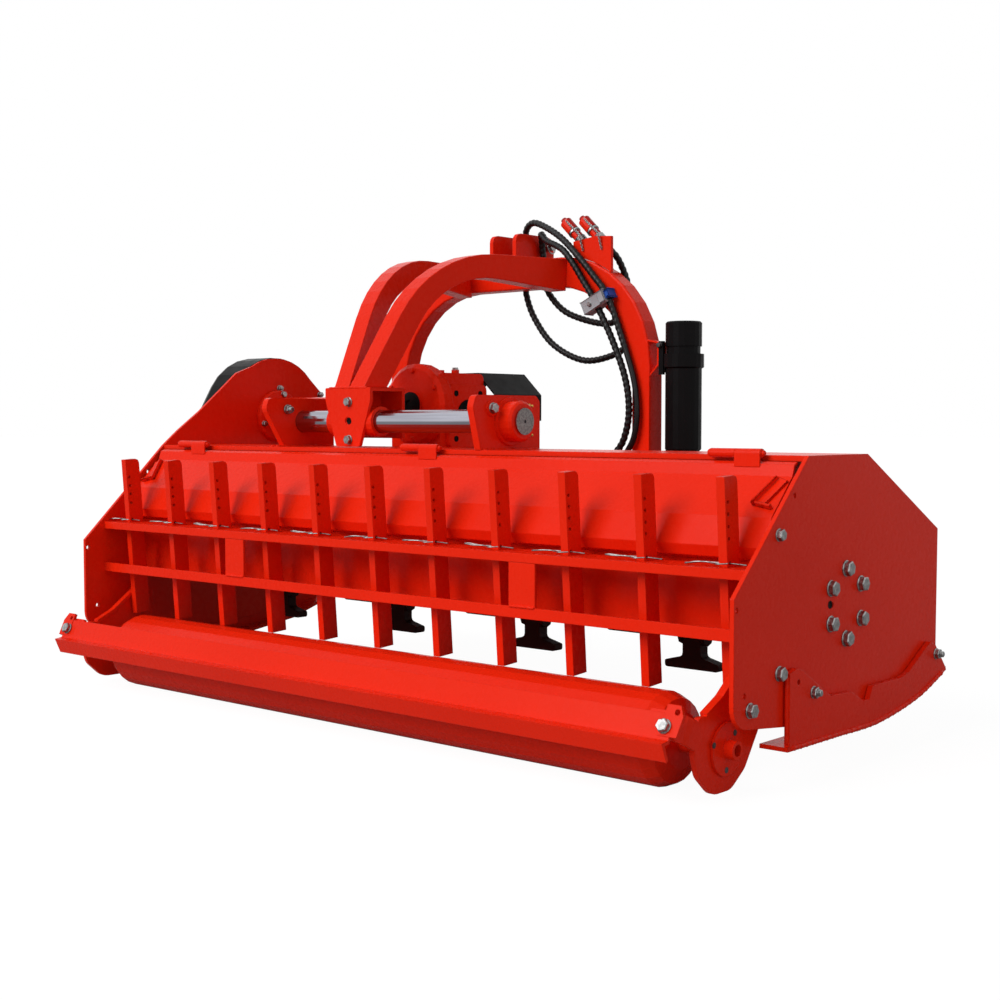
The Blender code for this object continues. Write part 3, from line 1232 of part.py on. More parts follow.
def front_guide(frame):
    """The square tube along which the arch's feet slide, with its brackets to the deck."""
    half = GUIDE_SIDE / 2
    guide = block("front_guide", (GUIDE_LEFT_X, GUIDE_RIGHT_X), (GUIDE_Y - half, GUIDE_Y + half),
                  (GUIDE_Z - half, GUIDE_Z + half), red_paint(), frame)
    for i, x in enumerate(GUIDE_BRACKETS):
        edge = deck_height(DECK_FRONT_Y)
        start = DECK_CREST_Y + GUIDE_BRACKET_RUN
        outline = [
            (DECK_FRONT_Y + GAP, edge - DECK_SKIRT), (DECK_FRONT_Y + GAP, edge),
            (start, deck_height(start) + 0.001), (GUIDE_Y - half + 0.010, GUIDE_Z + half - 0.005),
            (GUIDE_Y + half - 0.010, GUIDE_Z - half + 0.005),
        ]
        join(guide, flat("guide_bracket_%d" % i, outline, GUIDE_BRACKET_THICKNESS, "side", x, None, frame))
    eye_x = GUIDE_BRACKETS[-1]
    nose = CYLINDER_EYE_HALF
    outline = rounded([
        (GUIDE_Y - 0.010, GUIDE_Z - half + 0.006, 0), (GUIDE_Y + 0.020, CYLINDER_Z - nose, 0),
        (CYLINDER_Y + nose, CYLINDER_Z - nose, 0.020), (CYLINDER_Y + nose, CYLINDER_Z + nose, 0.020),
        (GUIDE_Y + half - 0.006, GUIDE_Z - half + 0.006, 0),
    ], 3)
    eye = flat("cylinder_eye", outline, CYLINDER_EYE_THICKNESS, "side", eye_x, None, frame,
               [circle((CYLINDER_Y, CYLINDER_Z), ROD_RADIUS + GAP, 16)])
    join(guide, eye)


def cylinder_barrel(slide):
    """The side-shift cylinder's barrel under the arch's right leg, with two ports."""
    barrel = turned("cylinder_barrel", [
        (0, 0), (BARREL_RADIUS, 0), (BARREL_RADIUS, -BARREL_LENGTH), (0, -BARREL_LENGTH),
    ], "x", (BARREL_RIGHT_X, CYLINDER_Y, CYLINDER_Z), dark_iron(), slide, 18)
    saddle = block("barrel_saddle", (BARREL_RIGHT_X - SADDLE_LAP, LEG_FACE_X),
                   (CYLINDER_Y - SADDLE_HALF, CYLINDER_Y + SADDLE_HALF),
                   (CYLINDER_Z - SADDLE_HALF, ARCH_FOOT_Z - GAP), None, slide)
    join(barrel, saddle)
    port_z = CYLINDER_Z + BARREL_RADIUS + (PORT_HEIGHT - PORT_SINK) / 2
    for i, x in enumerate((BARREL_RIGHT_X - PORT_INSETS[0], BARREL_LEFT_X + PORT_INSETS[1])):
        join(barrel, rod("port_%d" % i, PORT_RADIUS, PORT_HEIGHT + PORT_SINK, "z", (x, CYLINDER_Y, port_z),
                         None, slide, 12))
    bore = rod("barrel_bore", ROD_RADIUS + RUN_GAP, LEG_FACE_X - BARREL_LEFT_X, "x",
               ((BARREL_LEFT_X + 0.016 + LEG_FACE_X + 0.020) / 2, CYLINDER_Y, CYLINDER_Z), None, slide, 16)
    cut(barrel, bore)


def cylinder_rod(frame):
    right = GUIDE_BRACKETS[-1] + 0.012
    tip = BARREL_RIGHT_X - ROD_INSERT
    rod("cylinder_rod", ROD_RADIUS, right - tip, "x", ((right + tip) / 2, CYLINDER_Y, CYLINDER_Z),
        bright_steel(), frame, 16)


def gearbox_housing(frame):
    """The angle gearbox on the deck: body, round rear cover, square side flange."""
    half = GEARBOX_WIDTH / 2
    rear, front = GEARBOX_REAR_Y, GEARBOX_FRONT_Y
    outline = rounded([
        (rear, deck_height(rear) + 0.001, 0), (rear, GEARBOX_TOP, 0.012), (front, GEARBOX_TOP, 0.016),
        (front, deck_height(front) + 0.001, 0),
    ], 3)
    housing = as_mesh(flat("gearbox_housing", outline, GEARBOX_WIDTH, "side", HEAD_X, red_paint(), frame))
    disc = turned("gearbox_disc", [
        (0, -0.012), (GEARBOX_HUB_RADIUS, -0.012), (GEARBOX_HUB_RADIUS, -0.004),
        (GEARBOX_DISC_RADIUS - 0.012, -0.004),
        (GEARBOX_DISC_RADIUS, 0.006), (GEARBOX_DISC_RADIUS, 0.040), (0, 0.040),
    ][::-1], "y", (HEAD_X, GEARBOX_DISC_Y, GEARBOX_AXIS_Z), None, frame, 24)
    (flange_rear, flange_front), (flange_low, flange_high) = GEARBOX_FLANGE
    flange = flat("gearbox_flange", rounded([
        (flange_rear, flange_low, 0.016), (flange_rear, flange_high, 0.016),
        (flange_front, flange_high, 0.016), (flange_front, flange_low, 0.016),
    ], 3), GEARBOX_FLANGE_THICKNESS, "side", HEAD_X + half + 0.004, None, frame)
    bore = rod("gearbox_bore", GEARBOX_BORE_RADIUS, 0.016, "x", (HEAD_X + half + 0.014, *GEARBOX_BORE_PLACE),
               None, frame, 20)
    join(housing, disc, flange)
    cut(housing, bore)
    for i, x in enumerate((HEAD_X + 0.016, HEAD_X + half - 0.012)):
        join(housing, rod("gearbox_plug_%d" % i, GEARBOX_PLUG_RADIUS, 0.016, "z",
                          (x, GEARBOX_PLUG_Y, GEARBOX_TOP + 0.002), None, frame, 6))
    cut(housing, rod("input_bore", INPUT_SHAFT_RADIUS + RUN_GAP, 0.044, "y",
                     (HEAD_X, front - 0.020, GEARBOX_AXIS_Z), None, frame, 16))


def input_shaft(spin):
    """The splined power take-off stub."""
    outline = []
    for i in range(INPUT_SPLINES):
        for offset, radius in ((-11, 0.86), (-9, 1.0), (9, 1.0), (11, 0.86)):
            angle = math.radians(i * 360 / INPUT_SPLINES + offset)
            reach = INPUT_SHAFT_RADIUS * radius
            outline.append((reach * math.cos(angle), reach * math.sin(angle)))
    rear = GEARBOX_FRONT_Y - 0.038
    front = GUARD_FRONT_Y - 0.060
    shaft = flat("input_shaft", outline, front - rear, "front", (front + rear) / 2, bright_steel(), spin)
    shaft.location = (0, (front + rear) / 2 - spin.location.y, 0)


def pto_guard(frame):
    """The folded guard over the power take-off."""
    path = [
        (HEAD_X - GUARD_SIDE_HALF, GUARD_SKIRT_Z), (HEAD_X - GUARD_SIDE_HALF, GUARD_SHOULDER_Z),
        (HEAD_X - GUARD_TOP_HALF, GUARD_TOP), (HEAD_X + GUARD_TOP_HALF, GUARD_TOP),
        (HEAD_X + GUARD_SIDE_HALF, GUARD_SHOULDER_Z), (HEAD_X + GUARD_SIDE_HALF, GUARD_SKIRT_Z),
    ]
    outline = sheet_outline(list(reversed(path)), GUARD_SHEET)
    flat("pto_guard", outline, GUARD_FRONT_Y - GUARD_REAR_Y, "front", (GUARD_FRONT_Y + GUARD_REAR_Y) / 2,
         black_plastic(), frame)


def document_tube(slide):
    """The upright document tube, open at its neck, with its bracket to the arch's leg."""
    radius = HOLDER_RADIUS
    neck = radius - 0.008
    low, high = HOLDER_COLLAR
    floor = HOLDER_BOTTOM + HOLDER_WALL
    inner = neck - HOLDER_WALL
    collar = radius + HOLDER_COLLAR_STEP
    profile = [
        (0, HOLDER_NECK_TOP), (neck, HOLDER_NECK_TOP), (neck, high), (collar, high), (collar, low),
        (radius, low - 0.004), (radius, HOLDER_BOTTOM + 0.006), (radius - 0.006, HOLDER_BOTTOM),
        (0, HOLDER_BOTTOM),
    ]
    outer = turned("document_tube", profile, "z", (HOLDER_X, HOLDER_Y, 0), black_plastic(), slide, 20)
    leg = LEG_FACE_X + GAP
    web = leg + CHANNEL_DEPTH + CHANNEL_SHEET
    bracket = block("holder_bracket", (web, HOLDER_X - 0.041), (HOLDER_Y - 0.040, HOLDER_Y - 0.031),
                    (low - 0.020, high + 0.036), None, slide)
    clip = block("holder_clip", (web, HOLDER_X - radius + 0.012), (HOLDER_Y - 0.037, HOLDER_Y + 0.016),
                 (low - 0.014, high - 0.002), None, slide)
    strut = flat("holder_strut", [
        (leg, STRUT_Z), (leg + 0.014, STRUT_Z), (HOLDER_X - 0.010, HOLDER_BOTTOM + 0.004),
        (HOLDER_X - 0.036, HOLDER_BOTTOM + 0.016),
    ], STRUT_WIDTH, "front", HOLDER_Y - 0.004, None, slide)
    hollow = rod("holder_hollow", inner, HOLDER_NECK_TOP - floor + 0.010, "z",
                 (HOLDER_X, HOLDER_Y, (HOLDER_NECK_TOP + floor + 0.010) / 2), None, slide, 20)
    cut(join(outer, bracket, clip, strut), hollow)


def document_cap(lid):
    """The cap that lifts off the document tube's neck."""
    inner = HOLDER_RADIUS - 0.008 + SLIDE_GAP
    top, bottom = HOLDER_CAP_TOP, HOLDER_COLLAR[1] + GAP
    profile = [
        (0, top), (HOLDER_RADIUS - 0.004, top), (HOLDER_RADIUS, top - 0.004),
        (HOLDER_RADIUS, HOLDER_CAP_BOTTOM),
        (HOLDER_RADIUS - 0.004, HOLDER_CAP_BOTTOM), (HOLDER_RADIUS - 0.004, bottom),
        (inner, bottom), (inner, HOLDER_NECK_TOP + 0.004), (0, HOLDER_NECK_TOP + 0.004),
    ]
    cap = turned("document_cap", profile, "z", (HOLDER_X, HOLDER_Y, 0), black_plastic(), lid, 20)
    cap.location = (0, 0, -lid.location.z)


def smooth_route(points, spacing):
    """Points at an even spacing along a smooth curve through a route's own points."""
    ends = [2 * points[0] - points[1]] + points + [2 * points[-1] - points[-2]]
    fine = []
    for i in range(1, len(ends) - 2):
        a, b, c, d = ends[i - 1:i + 3]
        for k in range(24):
            t = k / 24
            fine.append(0.5 * (2 * b + (c - a) * t + (2 * a - 5 * b + 4 * c - d) * t ** 2
                               + (3 * b - a - 3 * c + d) * t ** 3))
    fine.append(points[-1])
    length = sum((second - first).length for first, second in zip(fine, fine[1:]))
    count = round(length / spacing)
    step = length / count
    chosen = [fine[0]]
    walked = 0.0
    for first, second in zip(fine, fine[1:]):
        walked += (second - first).length
        while walked >= step * len(chosen) - 1e-9 and len(chosen) < count:
            chosen.append(second)
    chosen.append(fine[-1])
    return chosen


def hose(name, route, slide):
    """A hydraulic hose from its coupler to its port on the side-shift cylinder."""
    points = smooth_route([Vector(point) for point in route], HOSE_POINT_SPACING)
    data = bpy.data.curves.new(name, "CURVE")
    data.dimensions = "3D"
    data.bevel_depth = HOSE_RADIUS
    data.bevel_resolution = 2
    data.use_fill_caps = True
    spline = data.splines.new("POLY")
    spline.points.add(len(points) - 1)
    for knot, point in zip(spline.points, points):
        knot.co = (*point, 1)
    add(name, data, hose_rubber(), (0, 0, 0), slide)


OUTER_HOSE_ROUTE = [
    (-0.0275, 0.598, 1.2515), (-0.013, 0.598, 1.2375), (0.0015, 0.599, 1.2235), (0.013, 0.622, 1.199),
    (0.018, 0.646, 1.162), (0.028, 0.658, 1.115), (0.038, 0.660, 1.075), (0.044, 0.660, 1.020),
    (0.026, 0.660, 0.960), (-0.027, 0.660, 0.926),
    (-0.137, 0.660, 0.913), (-0.251, 0.660, 0.961), (-0.323, 0.658, 1.040), (-0.352, 0.650, 1.117),
    (-0.354, 0.643, 1.200), (-0.346, 0.638, 1.272), (-0.323, 0.618, 1.308), (-0.280, 0.600, 1.321),
    (-0.218, 0.585, 1.300), (-0.150, 0.568, 1.264), (-0.090, 0.555, 1.218), (-0.023, 0.554, 1.149),
    (0.030, 0.554, 1.085), (0.076, 0.555, 0.978), (0.121, 0.555, 0.856), (0.134, 0.555, 0.760),
    (0.124, 0.555, 0.690), (0.098, 0.556, 0.645), (0.065, 0.564, 0.596), (0.056, 0.588, 0.547),
    (0.055, 0.600, 0.502),
    (0.055, 0.600, 0.4566),
]
INNER_HOSE_ROUTE = [
    (-0.0945, 0.598, 1.2515), (-0.080, 0.598, 1.2375), (-0.0655, 0.599, 1.2235), (-0.050, 0.624, 1.210),
    (-0.038, 0.650, 1.182), (-0.026, 0.658, 1.140),
    (-0.006, 0.660, 1.100), (0.004, 0.660, 1.050), (-0.030, 0.660, 1.020), (-0.095, 0.660, 1.022),
    (-0.198, 0.660, 1.054), (-0.254, 0.655, 1.100), (-0.276, 0.645, 1.150), (-0.280, 0.644, 1.215),
    (-0.276, 0.632, 1.266), (-0.256, 0.606, 1.286), (-0.220, 0.586, 1.262), (-0.170, 0.568, 1.244),
    (-0.129, 0.556, 1.223), (-0.091, 0.554, 1.181), (-0.055, 0.554, 1.131), (-0.018, 0.554, 1.079),
    (0.043, 0.555, 0.970), (0.092, 0.555, 0.856), (0.106, 0.555, 0.760), (0.088, 0.555, 0.682),
    (0.050, 0.556, 0.632), (0.004, 0.574, 0.572), (-0.060, 0.594, 0.520), (-0.180, 0.600, 0.512),
    (-0.310, 0.600, 0.548), (-0.375, 0.600, 0.578), (-0.415, 0.600, 0.572), (-0.430, 0.600, 0.536),
    (-0.430, 0.600, 0.500), (-0.430, 0.600, 0.4566),
]


def build_machine():
    start_scene()
    machine = body("machine", (MACHINE_X, MACHINE_Y, 0))
    spin = body("rotor_body", (0, 0, ROTOR_Z), machine)
    hood = body("hood_body", (0, HINGE_Y, HINGE_Z), machine)
    roller_frame = body("roller_frame_body", (0, *ARM_PIVOT), machine)
    roller_spin = body("roller_body", (0, ROLLER_Y, ROLLER_RADIUS), machine)
    slide = body("headstock_body", (HEAD_X, SHAFT_Y, SHAFT_Z), machine)
    drive = body("drive_pulley_body", (0, DRIVE_Y, DRIVE_Z), machine)
    power = body("input_shaft_body", (HEAD_X, GEARBOX_FRONT_Y, GEARBOX_AXIS_Z), machine)
    lid = body("document_cap_body", (HOLDER_X, HOLDER_Y, HOLDER_CAP_BOTTOM), machine)
    right_side_plate(machine)
    left_side_plate(machine)
    deck_shell(machine)
    rear_hood(hood)
    rake_upper_beam(machine)
    rake_lower_beam(machine)
    tines(machine)
    roller(roller_spin)
    roller_arm("right_roller_arm", 1, roller_frame)
    roller_arm("left_roller_arm", -1, roller_frame)
    bearing_cap("right_bearing_cap", 1, roller_frame)
    bearing_cap("left_bearing_cap", -1, roller_frame)
    scraper_bar(roller_frame)
    skid("right_skid", 1, machine)
    skid("left_skid", -1, machine)
    belt_cover(machine)
    drive_pulley(drive)
    rotor_pulley(spin)
    drive_belt(machine)
    drive_tube(machine)
    bearing_housing(machine)
    rotor(spin)
    hammers(machine)
    ear("left_ear", LEFT_EAR_X - EAR_THICKNESS, -1, LEFT_EAR_FOOT_Y, machine)
    ear("right_ear", RIGHT_EAR_X, 1, RIGHT_EAR_FOOT_Y, machine)
    slide_shaft(machine)
    carriage(slide)
    headstock_arm("left_arm", -1, slide)
    headstock_arm("right_arm", 1, slide)
    arch(slide)
    top_link_pin(slide)
    hydraulic_couplers(slide)
    front_guide(machine)
    cylinder_barrel(slide)
    cylinder_rod(machine)
    gearbox_housing(machine)
    input_shaft(power)
    pto_guard(machine)
    document_tube(slide)
    document_cap(lid)
    hose("outer_hose", OUTER_HOSE_ROUTE, slide)
    hose("inner_hose", INNER_HOSE_ROUTE, slide)


build_machine()
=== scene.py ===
"""Looks for the tractor mulcher: camera, light, materials and the small parts."""

import math

import bmesh
import bpy
from mathutils import Matrix, Vector

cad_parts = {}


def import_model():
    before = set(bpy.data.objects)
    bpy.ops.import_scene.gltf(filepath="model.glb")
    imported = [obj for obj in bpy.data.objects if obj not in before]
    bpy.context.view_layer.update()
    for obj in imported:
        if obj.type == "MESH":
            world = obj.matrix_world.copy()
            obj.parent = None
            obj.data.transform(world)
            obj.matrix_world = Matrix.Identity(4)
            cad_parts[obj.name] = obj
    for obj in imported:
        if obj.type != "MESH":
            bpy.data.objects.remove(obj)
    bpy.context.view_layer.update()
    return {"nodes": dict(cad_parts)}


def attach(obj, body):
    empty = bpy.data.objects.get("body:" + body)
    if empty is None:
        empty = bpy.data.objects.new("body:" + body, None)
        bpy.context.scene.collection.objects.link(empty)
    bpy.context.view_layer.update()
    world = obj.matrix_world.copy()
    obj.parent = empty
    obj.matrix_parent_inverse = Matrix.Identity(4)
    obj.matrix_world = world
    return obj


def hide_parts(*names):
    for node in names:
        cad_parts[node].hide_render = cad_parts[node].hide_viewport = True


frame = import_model()

# The design frame has its origin under the rotor's axis, in the middle of the working width.
OFFSET = Vector((0.0602, -0.080, 0.0))

# The camera in the model's frame, with angles in degrees and the lens in millimetres.
CAMERA_PLACE = (2.6727, -2.8957, 0.7320)
CAMERA_AZIMUTH = 41.549
CAMERA_PITCH = 2.990
CAMERA_LENS = 53.872
SENSOR_WIDTH = 36.0

# Light, with places in metres and angles in degrees.
AMBIENT = 0.25
KEY_PLACE = (-1.2, -4.0, 3.4)
KEY_STRENGTH = 2.40
KEY_ANGLE = 42
FILL_PLACE = (5.0, -1.0, 2.2)
FILL_STRENGTH = 0.40
FILL_ANGLE = 60
LIGHT_TARGET = (0, 0, 0.4)
FLOOR_GLOW = 1.14
FLOOR_WHITE = 0.84
FLOOR_GREY = 0.50
FLOOR_HALF_SIZE = 60.0
FLOOR_DROP = 0.001

# Directions and sides, seen from the roller's end of the machine.
RIGHT = (1, 0, 0)
UP = (0, 0, 1)
REARWARD = (0, -1, 0)
SIDES = ((1, "right"), (-1, "left"))

# Places and sizes on the machine in metres, in the design frame.
PLATE_FACE_X = 1.085
SKID_FACE_X = 1.099
HEAD_X = -0.345
BRACKET_FRONT_Y = 0.5855
HUB = (0.0, 0.352)
HUB_BOLT_RING = 0.0737
HUB_BOLT_TURNS = (90, 30, -30, -90, -150, 150)
TUBE_FLANGE = (0.278, 0.750)
TUBE_BOLT_RING = 0.070
REAR_HUB_Z = 0.779
REAR_HUB_BOLT_RING = 0.096
HINGE_XS = (-0.912, 0.005, 0.922)
HINGE_Y = -0.170
HINGE_Z = 0.668
HINGE_HALF_LENGTH = 0.062
CLIP_PLACE = (-0.272, 0.671, 1.256)
COUPLER_XS = (-0.095, -0.028)
COUPLER_FOOT_Y = 0.598
COUPLER_FOOT_Z = 1.252
COUPLER_LEAN = 46
TINE_COUNT = 11
TINE_PITCH = 0.200
TINE_CLIP_Y = -0.3285
TINE_CLIP_Z = 0.4545

# Finish of paint, welds, chains and hoses, in metres.
PAINT_EDGE = 0.0025
WELD_STEP = 0.0035
CHAIN_PITCH = 0.0055
HOSE_RADIUS = 0.010
HOSE_STEP = 0.004
WRAP_PITCH = 0.016
WRAP_GROOVE = 0.0018
WRAP_START = 0.045
BARE_DEPTH = 0.0016

# Faces that meet at less than this many degrees are smooth: on made forms, and on rippled ones.
FORM_EDGE = 35.0
RIPPLE_EDGE = 80.0


def at(x, y, z):
    """A place in the design frame as a place in the model's frame."""
    return Vector((x, y, z)) + OFFSET


# Materials

def shader_of(material):
    """The shader of a material."""
    return material.node_tree.nodes["Principled BSDF"]


def new_material(name, roughness, metallic=0.0, specular=0.5):
    """A material with its constant values on the shader."""
    material = bpy.data.materials.new(name)
    material.use_nodes = True
    shader = shader_of(material)
    shader.inputs["Roughness"].default_value = roughness
    shader.inputs["Metallic"].default_value = metallic
    shader.inputs["Specular IOR Level"].default_value = specular
    return material


def noise(material, scale, detail, stretch=(1, 1, 1)):
    """Noise in the object's own metres, drawn out along an axis where stretch is small."""
    nodes, links = material.node_tree.nodes, material.node_tree.links
    place = nodes.new("ShaderNodeTexCoord")
    mapping = nodes.new("ShaderNodeMapping")
    mapping.inputs["Scale"].default_value = stretch
    texture = nodes.new("ShaderNodeTexNoise")
    texture.inputs["Scale"].default_value = scale
    texture.inputs["Detail"].default_value = detail
    links.new(place.outputs["Object"], mapping.inputs["Vector"])
    links.new(mapping.outputs["Vector"], texture.inputs["Vector"])
    return texture.outputs["Fac"]


def feed(material, output, socket):
    """Join a node's output to a socket of the shader."""
    material.node_tree.links.new(output, shader_of(material).inputs[socket])


def two_tones(material, factor, shade, colour, low=0.35, high=0.65):
    """Colour that goes from shade to colour as the factor rises from low to high."""
    node = material.node_tree.nodes.new("ShaderNodeValToRGB")
    material.node_tree.links.new(factor, node.inputs["Fac"])
    for element, place, tone in zip(node.color_ramp.elements, (low, high), (shade, colour)):
        element.position = place
        element.color = (*tone, 1.0)
    feed(material, node.outputs["Color"], "Base Color")


def dull_patches(material, factor, low, high):
    """Roughness that goes from low to high over the middle of the factor's range."""
    node = material.node_tree.nodes.new("ShaderNodeMapRange")
    node.inputs["From Min"].default_value = 0.3
    node.inputs["From Max"].default_value = 0.7
    node.inputs["To Min"].default_value = low
    node.inputs["To Max"].default_value = high
    material.node_tree.links.new(factor, node.inputs["Value"])
    feed(material, node.outputs["Result"], "Roughness")


def soft_edges(material, radius):
    """Edges that catch the light as if they were rounded by a small radius."""
    node = material.node_tree.nodes.new("ShaderNodeBevel")
    node.samples = 4
    node.inputs["Radius"].default_value = radius
    return node.outputs["Normal"]


def bump(material, height, strength, distance, normal=None):
    """Relief from a height, on top of a normal where one is given."""
    node = material.node_tree.nodes.new("ShaderNodeBump")
    links = material.node_tree.links
    if normal:
        links.new(normal, node.inputs["Normal"])
    node.inputs["Strength"].default_value = strength
    node.inputs["Distance"].default_value = distance
    links.new(height, node.inputs["Height"])
    feed(material, node.outputs["Normal"], "Normal")


def painted(name, colour, shade, roughness, peel=0.05):
    """Sprayed paint with slight unevenness, dull patches, orange peel and soft edges."""
    material = new_material(name, roughness, specular=0.08)
    two_tones(material, noise(material, 3.0, 5.0), shade, colour, 0.30, 0.70)
    dull_patches(material, noise(material, 60.0, 6.0), roughness - 0.02, roughness + 0.03)
    bump(material, noise(material, 420.0, 2.0), peel, 0.0004, soft_edges(material, PAINT_EDGE))
    return material


def plain_metal(name, colour, shade, roughness, grain=(1, 1, 1), scale=60.0):
    """Bare or plated metal with a fine grain and faint blotches."""
    material = new_material(name, roughness, metallic=1.0)
    two_tones(material, noise(material, scale, 4.0, grain), shade, colour)
    blotches = noise(material, scale * 2.0, 3.0, grain)
    dull_patches(material, blotches, roughness - 0.05, roughness + 0.10)
    bump(material, noise(material, scale * 8.0, 2.0, grain), 0.08, 0.0004)
    return material


def moulded(name, colour, shade, roughness, specular=0.06):
    """Moulded plastic or rubber with a fine texture and dull patches."""
    material = new_material(name, roughness, specular=specular)
    two_tones(material, noise(material, 9.0, 4.0), shade, colour)
    dull_patches(material, noise(material, 30.0, 4.0), roughness - 0.06, roughness + 0.10)
    bump(material, noise(material, 300.0, 2.0), 0.18, 0.0006)
    return material


RED = painted("gloss_red_paint", (0.83, 0.021, 0.004), (0.78, 0.018, 0.003), 0.27)
IRON = painted("dark_rotor_paint", (0.050, 0.009, 0.007), (0.022, 0.007, 0.006), 0.50, 0.25)
BLACK = moulded("black_moulded_plastic", (0.0045, 0.004, 0.0045), (0.003, 0.003, 0.003), 0.36)
BELT = moulded("belt_rubber_skin", (0.020, 0.020, 0.020), (0.012, 0.012, 0.012), 0.75)
HOSE = moulded("hose_rubber_skin", (0.006, 0.006, 0.007), (0.004, 0.004, 0.004), 0.36, specular=0.22)
CHROME = plain_metal("ground_chrome", (0.46, 0.46, 0.52), (0.34, 0.34, 0.39), 0.12, (0.03, 1, 1), 70.0)
ZINC = plain_metal("zinc_plate", (0.36, 0.36, 0.36), (0.20, 0.20, 0.20), 0.30, scale=140.0)
BRASS = plain_metal("brass", (0.62, 0.42, 0.10), (0.40, 0.27, 0.07), 0.35, scale=200.0)
CAP_RED = painted("dark_red_cap", (0.42, 0.010, 0.008), (0.34, 0.008, 0.007), 0.30)
# Near black: the real colour of the gearbox's rear cap and side seal, and painted shade on the thin discs
# that stand in for holes.
BLACK_AND_HOLE_SHADE = moulded("black_seals_and_painted_hole_shade", (0.004, 0.003, 0.003), (0.002, 0.002, 0.002), 0.60)
DARK_STEEL = plain_metal("oiled_steel", (0.10, 0.09, 0.09), (0.05, 0.05, 0.05), 0.45)
WORN_STEEL = plain_metal("worn_steel", (0.24, 0.23, 0.22), (0.12, 0.11, 0.11), 0.42, scale=220.0)
BLUE = moulded("blue_plastic", (0.030, 0.10, 0.42), (0.022, 0.075, 0.33), 0.40)
GREY = moulded("grey_plastic", (0.40, 0.41, 0.43), (0.33, 0.34, 0.36), 0.45)

NODE_LOOKS = {
    "belt_cover": BLACK, "pto_guard": BLACK, "document_tube": BLACK, "document_cap": BLACK,
    "slide_shaft": CHROME, "top_link_pin": ZINC, "cylinder_rod": CHROME, "input_shaft": ZINC,
    "drive_pulley": DARK_STEEL, "rotor_pulley": DARK_STEEL, "rotor": IRON,
    "cylinder_barrel": BLACK, "drive_belt": BELT, "outer_hose": HOSE, "inner_hose": HOSE,
}


def first_looks():
    """Every solid in its own material, and red where none is named."""
    for name, node in frame["nodes"].items():
        look = IRON if name.startswith("hammer_") else NODE_LOOKS.get(name, RED)
        node.data.materials.clear()
        node.data.materials.append(look)


def second_look(name, material, chosen):
    """Another material on those faces of a solid that are chosen."""
    node = frame["nodes"][name]
    node.data.materials.append(material)
    for polygon in node.data.polygons:
        if chosen(node, polygon):
            polygon.material_index = 1


def behind_bracket(node, polygon):
    """True for the couplers' caps, which stand behind their bracket plate."""
    return (node.matrix_world @ polygon.center - OFFSET).y > BRACKET_FRONT_Y


def faces_sideways(node, polygon):
    """True for the ends of a shaft that lies across the machine."""
    return abs(polygon.normal.x) > 0.9


# Forms

def piece(name, shape, material, body, edge=FORM_EDGE):
    """Make a piece of a finished shape, with smooth faces between sharp edges, on a body."""
    data = bpy.data.meshes.new(name)
    shape.to_mesh(data)
    shape.free()
    data.shade_smooth()
    data.set_sharp_from_angle(angle=math.radians(edge))
    made = bpy.data.objects.new(name, data)
    bpy.context.scene.collection.objects.link(made)
    made.data.materials.append(material)
    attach(made, body)
    return made


def close_rings(shape, rings):
    """Add the faces between rings of as many points each, and a face over both ends."""
    sides = len(rings[0])
    for low, high in zip(rings, rings[1:]):
        for k in range(sides):
            shape.faces.new((low[k], low[(k + 1) % sides], high[(k + 1) % sides], high[k]))
    shape.faces.new(list(reversed(rings[0])))
    shape.faces.new(rings[-1])


def lathe(shape, profile, place, axis, sides, spin=0.0):
    """Add a turned form: (radius, height) rings from the base up, closed at both ends."""
    turn = Vector(axis).to_track_quat("Z", "Y").to_matrix().to_4x4()
    matrix = Matrix.Translation(place) @ turn
    rings = []
    for radius, height in profile:
        ring = []
        for k in range(sides):
            angle = 2 * math.pi * k / sides + spin
            point = Vector((radius * math.cos(angle), radius * math.sin(angle), height))
            ring.append(shape.verts.new(matrix @ point))
        rings.append(ring)
    close_rings(shape, rings)


def turned(name, profile, places, axis, sides, material, body):
    """A piece with the same turned form at every place."""
    shape = bmesh.new()
    for place in places:
        lathe(shape, profile, at(*place), axis, sides)
    piece(name, shape, material, body)


def rounded_block(shape, centre, along, up, size, edge):
    """Add a block with broken edges, from its centre, two directions and its three sizes."""
    along, up = Vector(along).normalized(), Vector(up).normalized()
    across = along.cross(up)
    made = bmesh.ops.create_cube(shape, size=1.0)["verts"]
    for vert in made:
        x, y, z = vert.co
        vert.co = at(*centre) + along * (x * size[0]) + across * (y * size[1]) + up * (z * size[2])
    rims = list({rim for vert in made for rim in vert.link_edges})
    bmesh.ops.bevel(shape, geom=rims, offset=edge, segments=2, profile=0.5, affect="EDGES")


def smooth_path(points, steps=6):
    """A smooth curve through points."""
    points = [Vector(point) for point in points]
    ends = [2 * points[0] - points[1]] + points + [2 * points[-1] - points[-2]]
    fine = []
    for i in range(1, len(ends) - 2):
        a, b, c, d = ends[i - 1:i + 3]
        for k in range(steps):
            t = k / steps
            fine.append(0.5 * (2 * b + (c - a) * t + (2 * a - 5 * b + 4 * c - d) * t ** 2
                               + (3 * b - a - 3 * c + d) * t ** 3))
    fine.append(points[-1])
    return fine


def even_points(points, spacing):
    """Points at an even spacing along a fine path, and the path's length."""
    length = sum((b - a).length for a, b in zip(points, points[1:]))
    count = round(length / spacing)
    step = length / count
    chosen, walked = [points[0]], 0.0
    for a, b in zip(points, points[1:]):
        gap = (b - a).length
        while gap and walked + gap >= step * len(chosen) - 1e-9 and len(chosen) < count:
            chosen.append(a.lerp(b, (step * len(chosen) - walked) / gap))
        walked += gap
    chosen.append(points[-1])
    return chosen, length


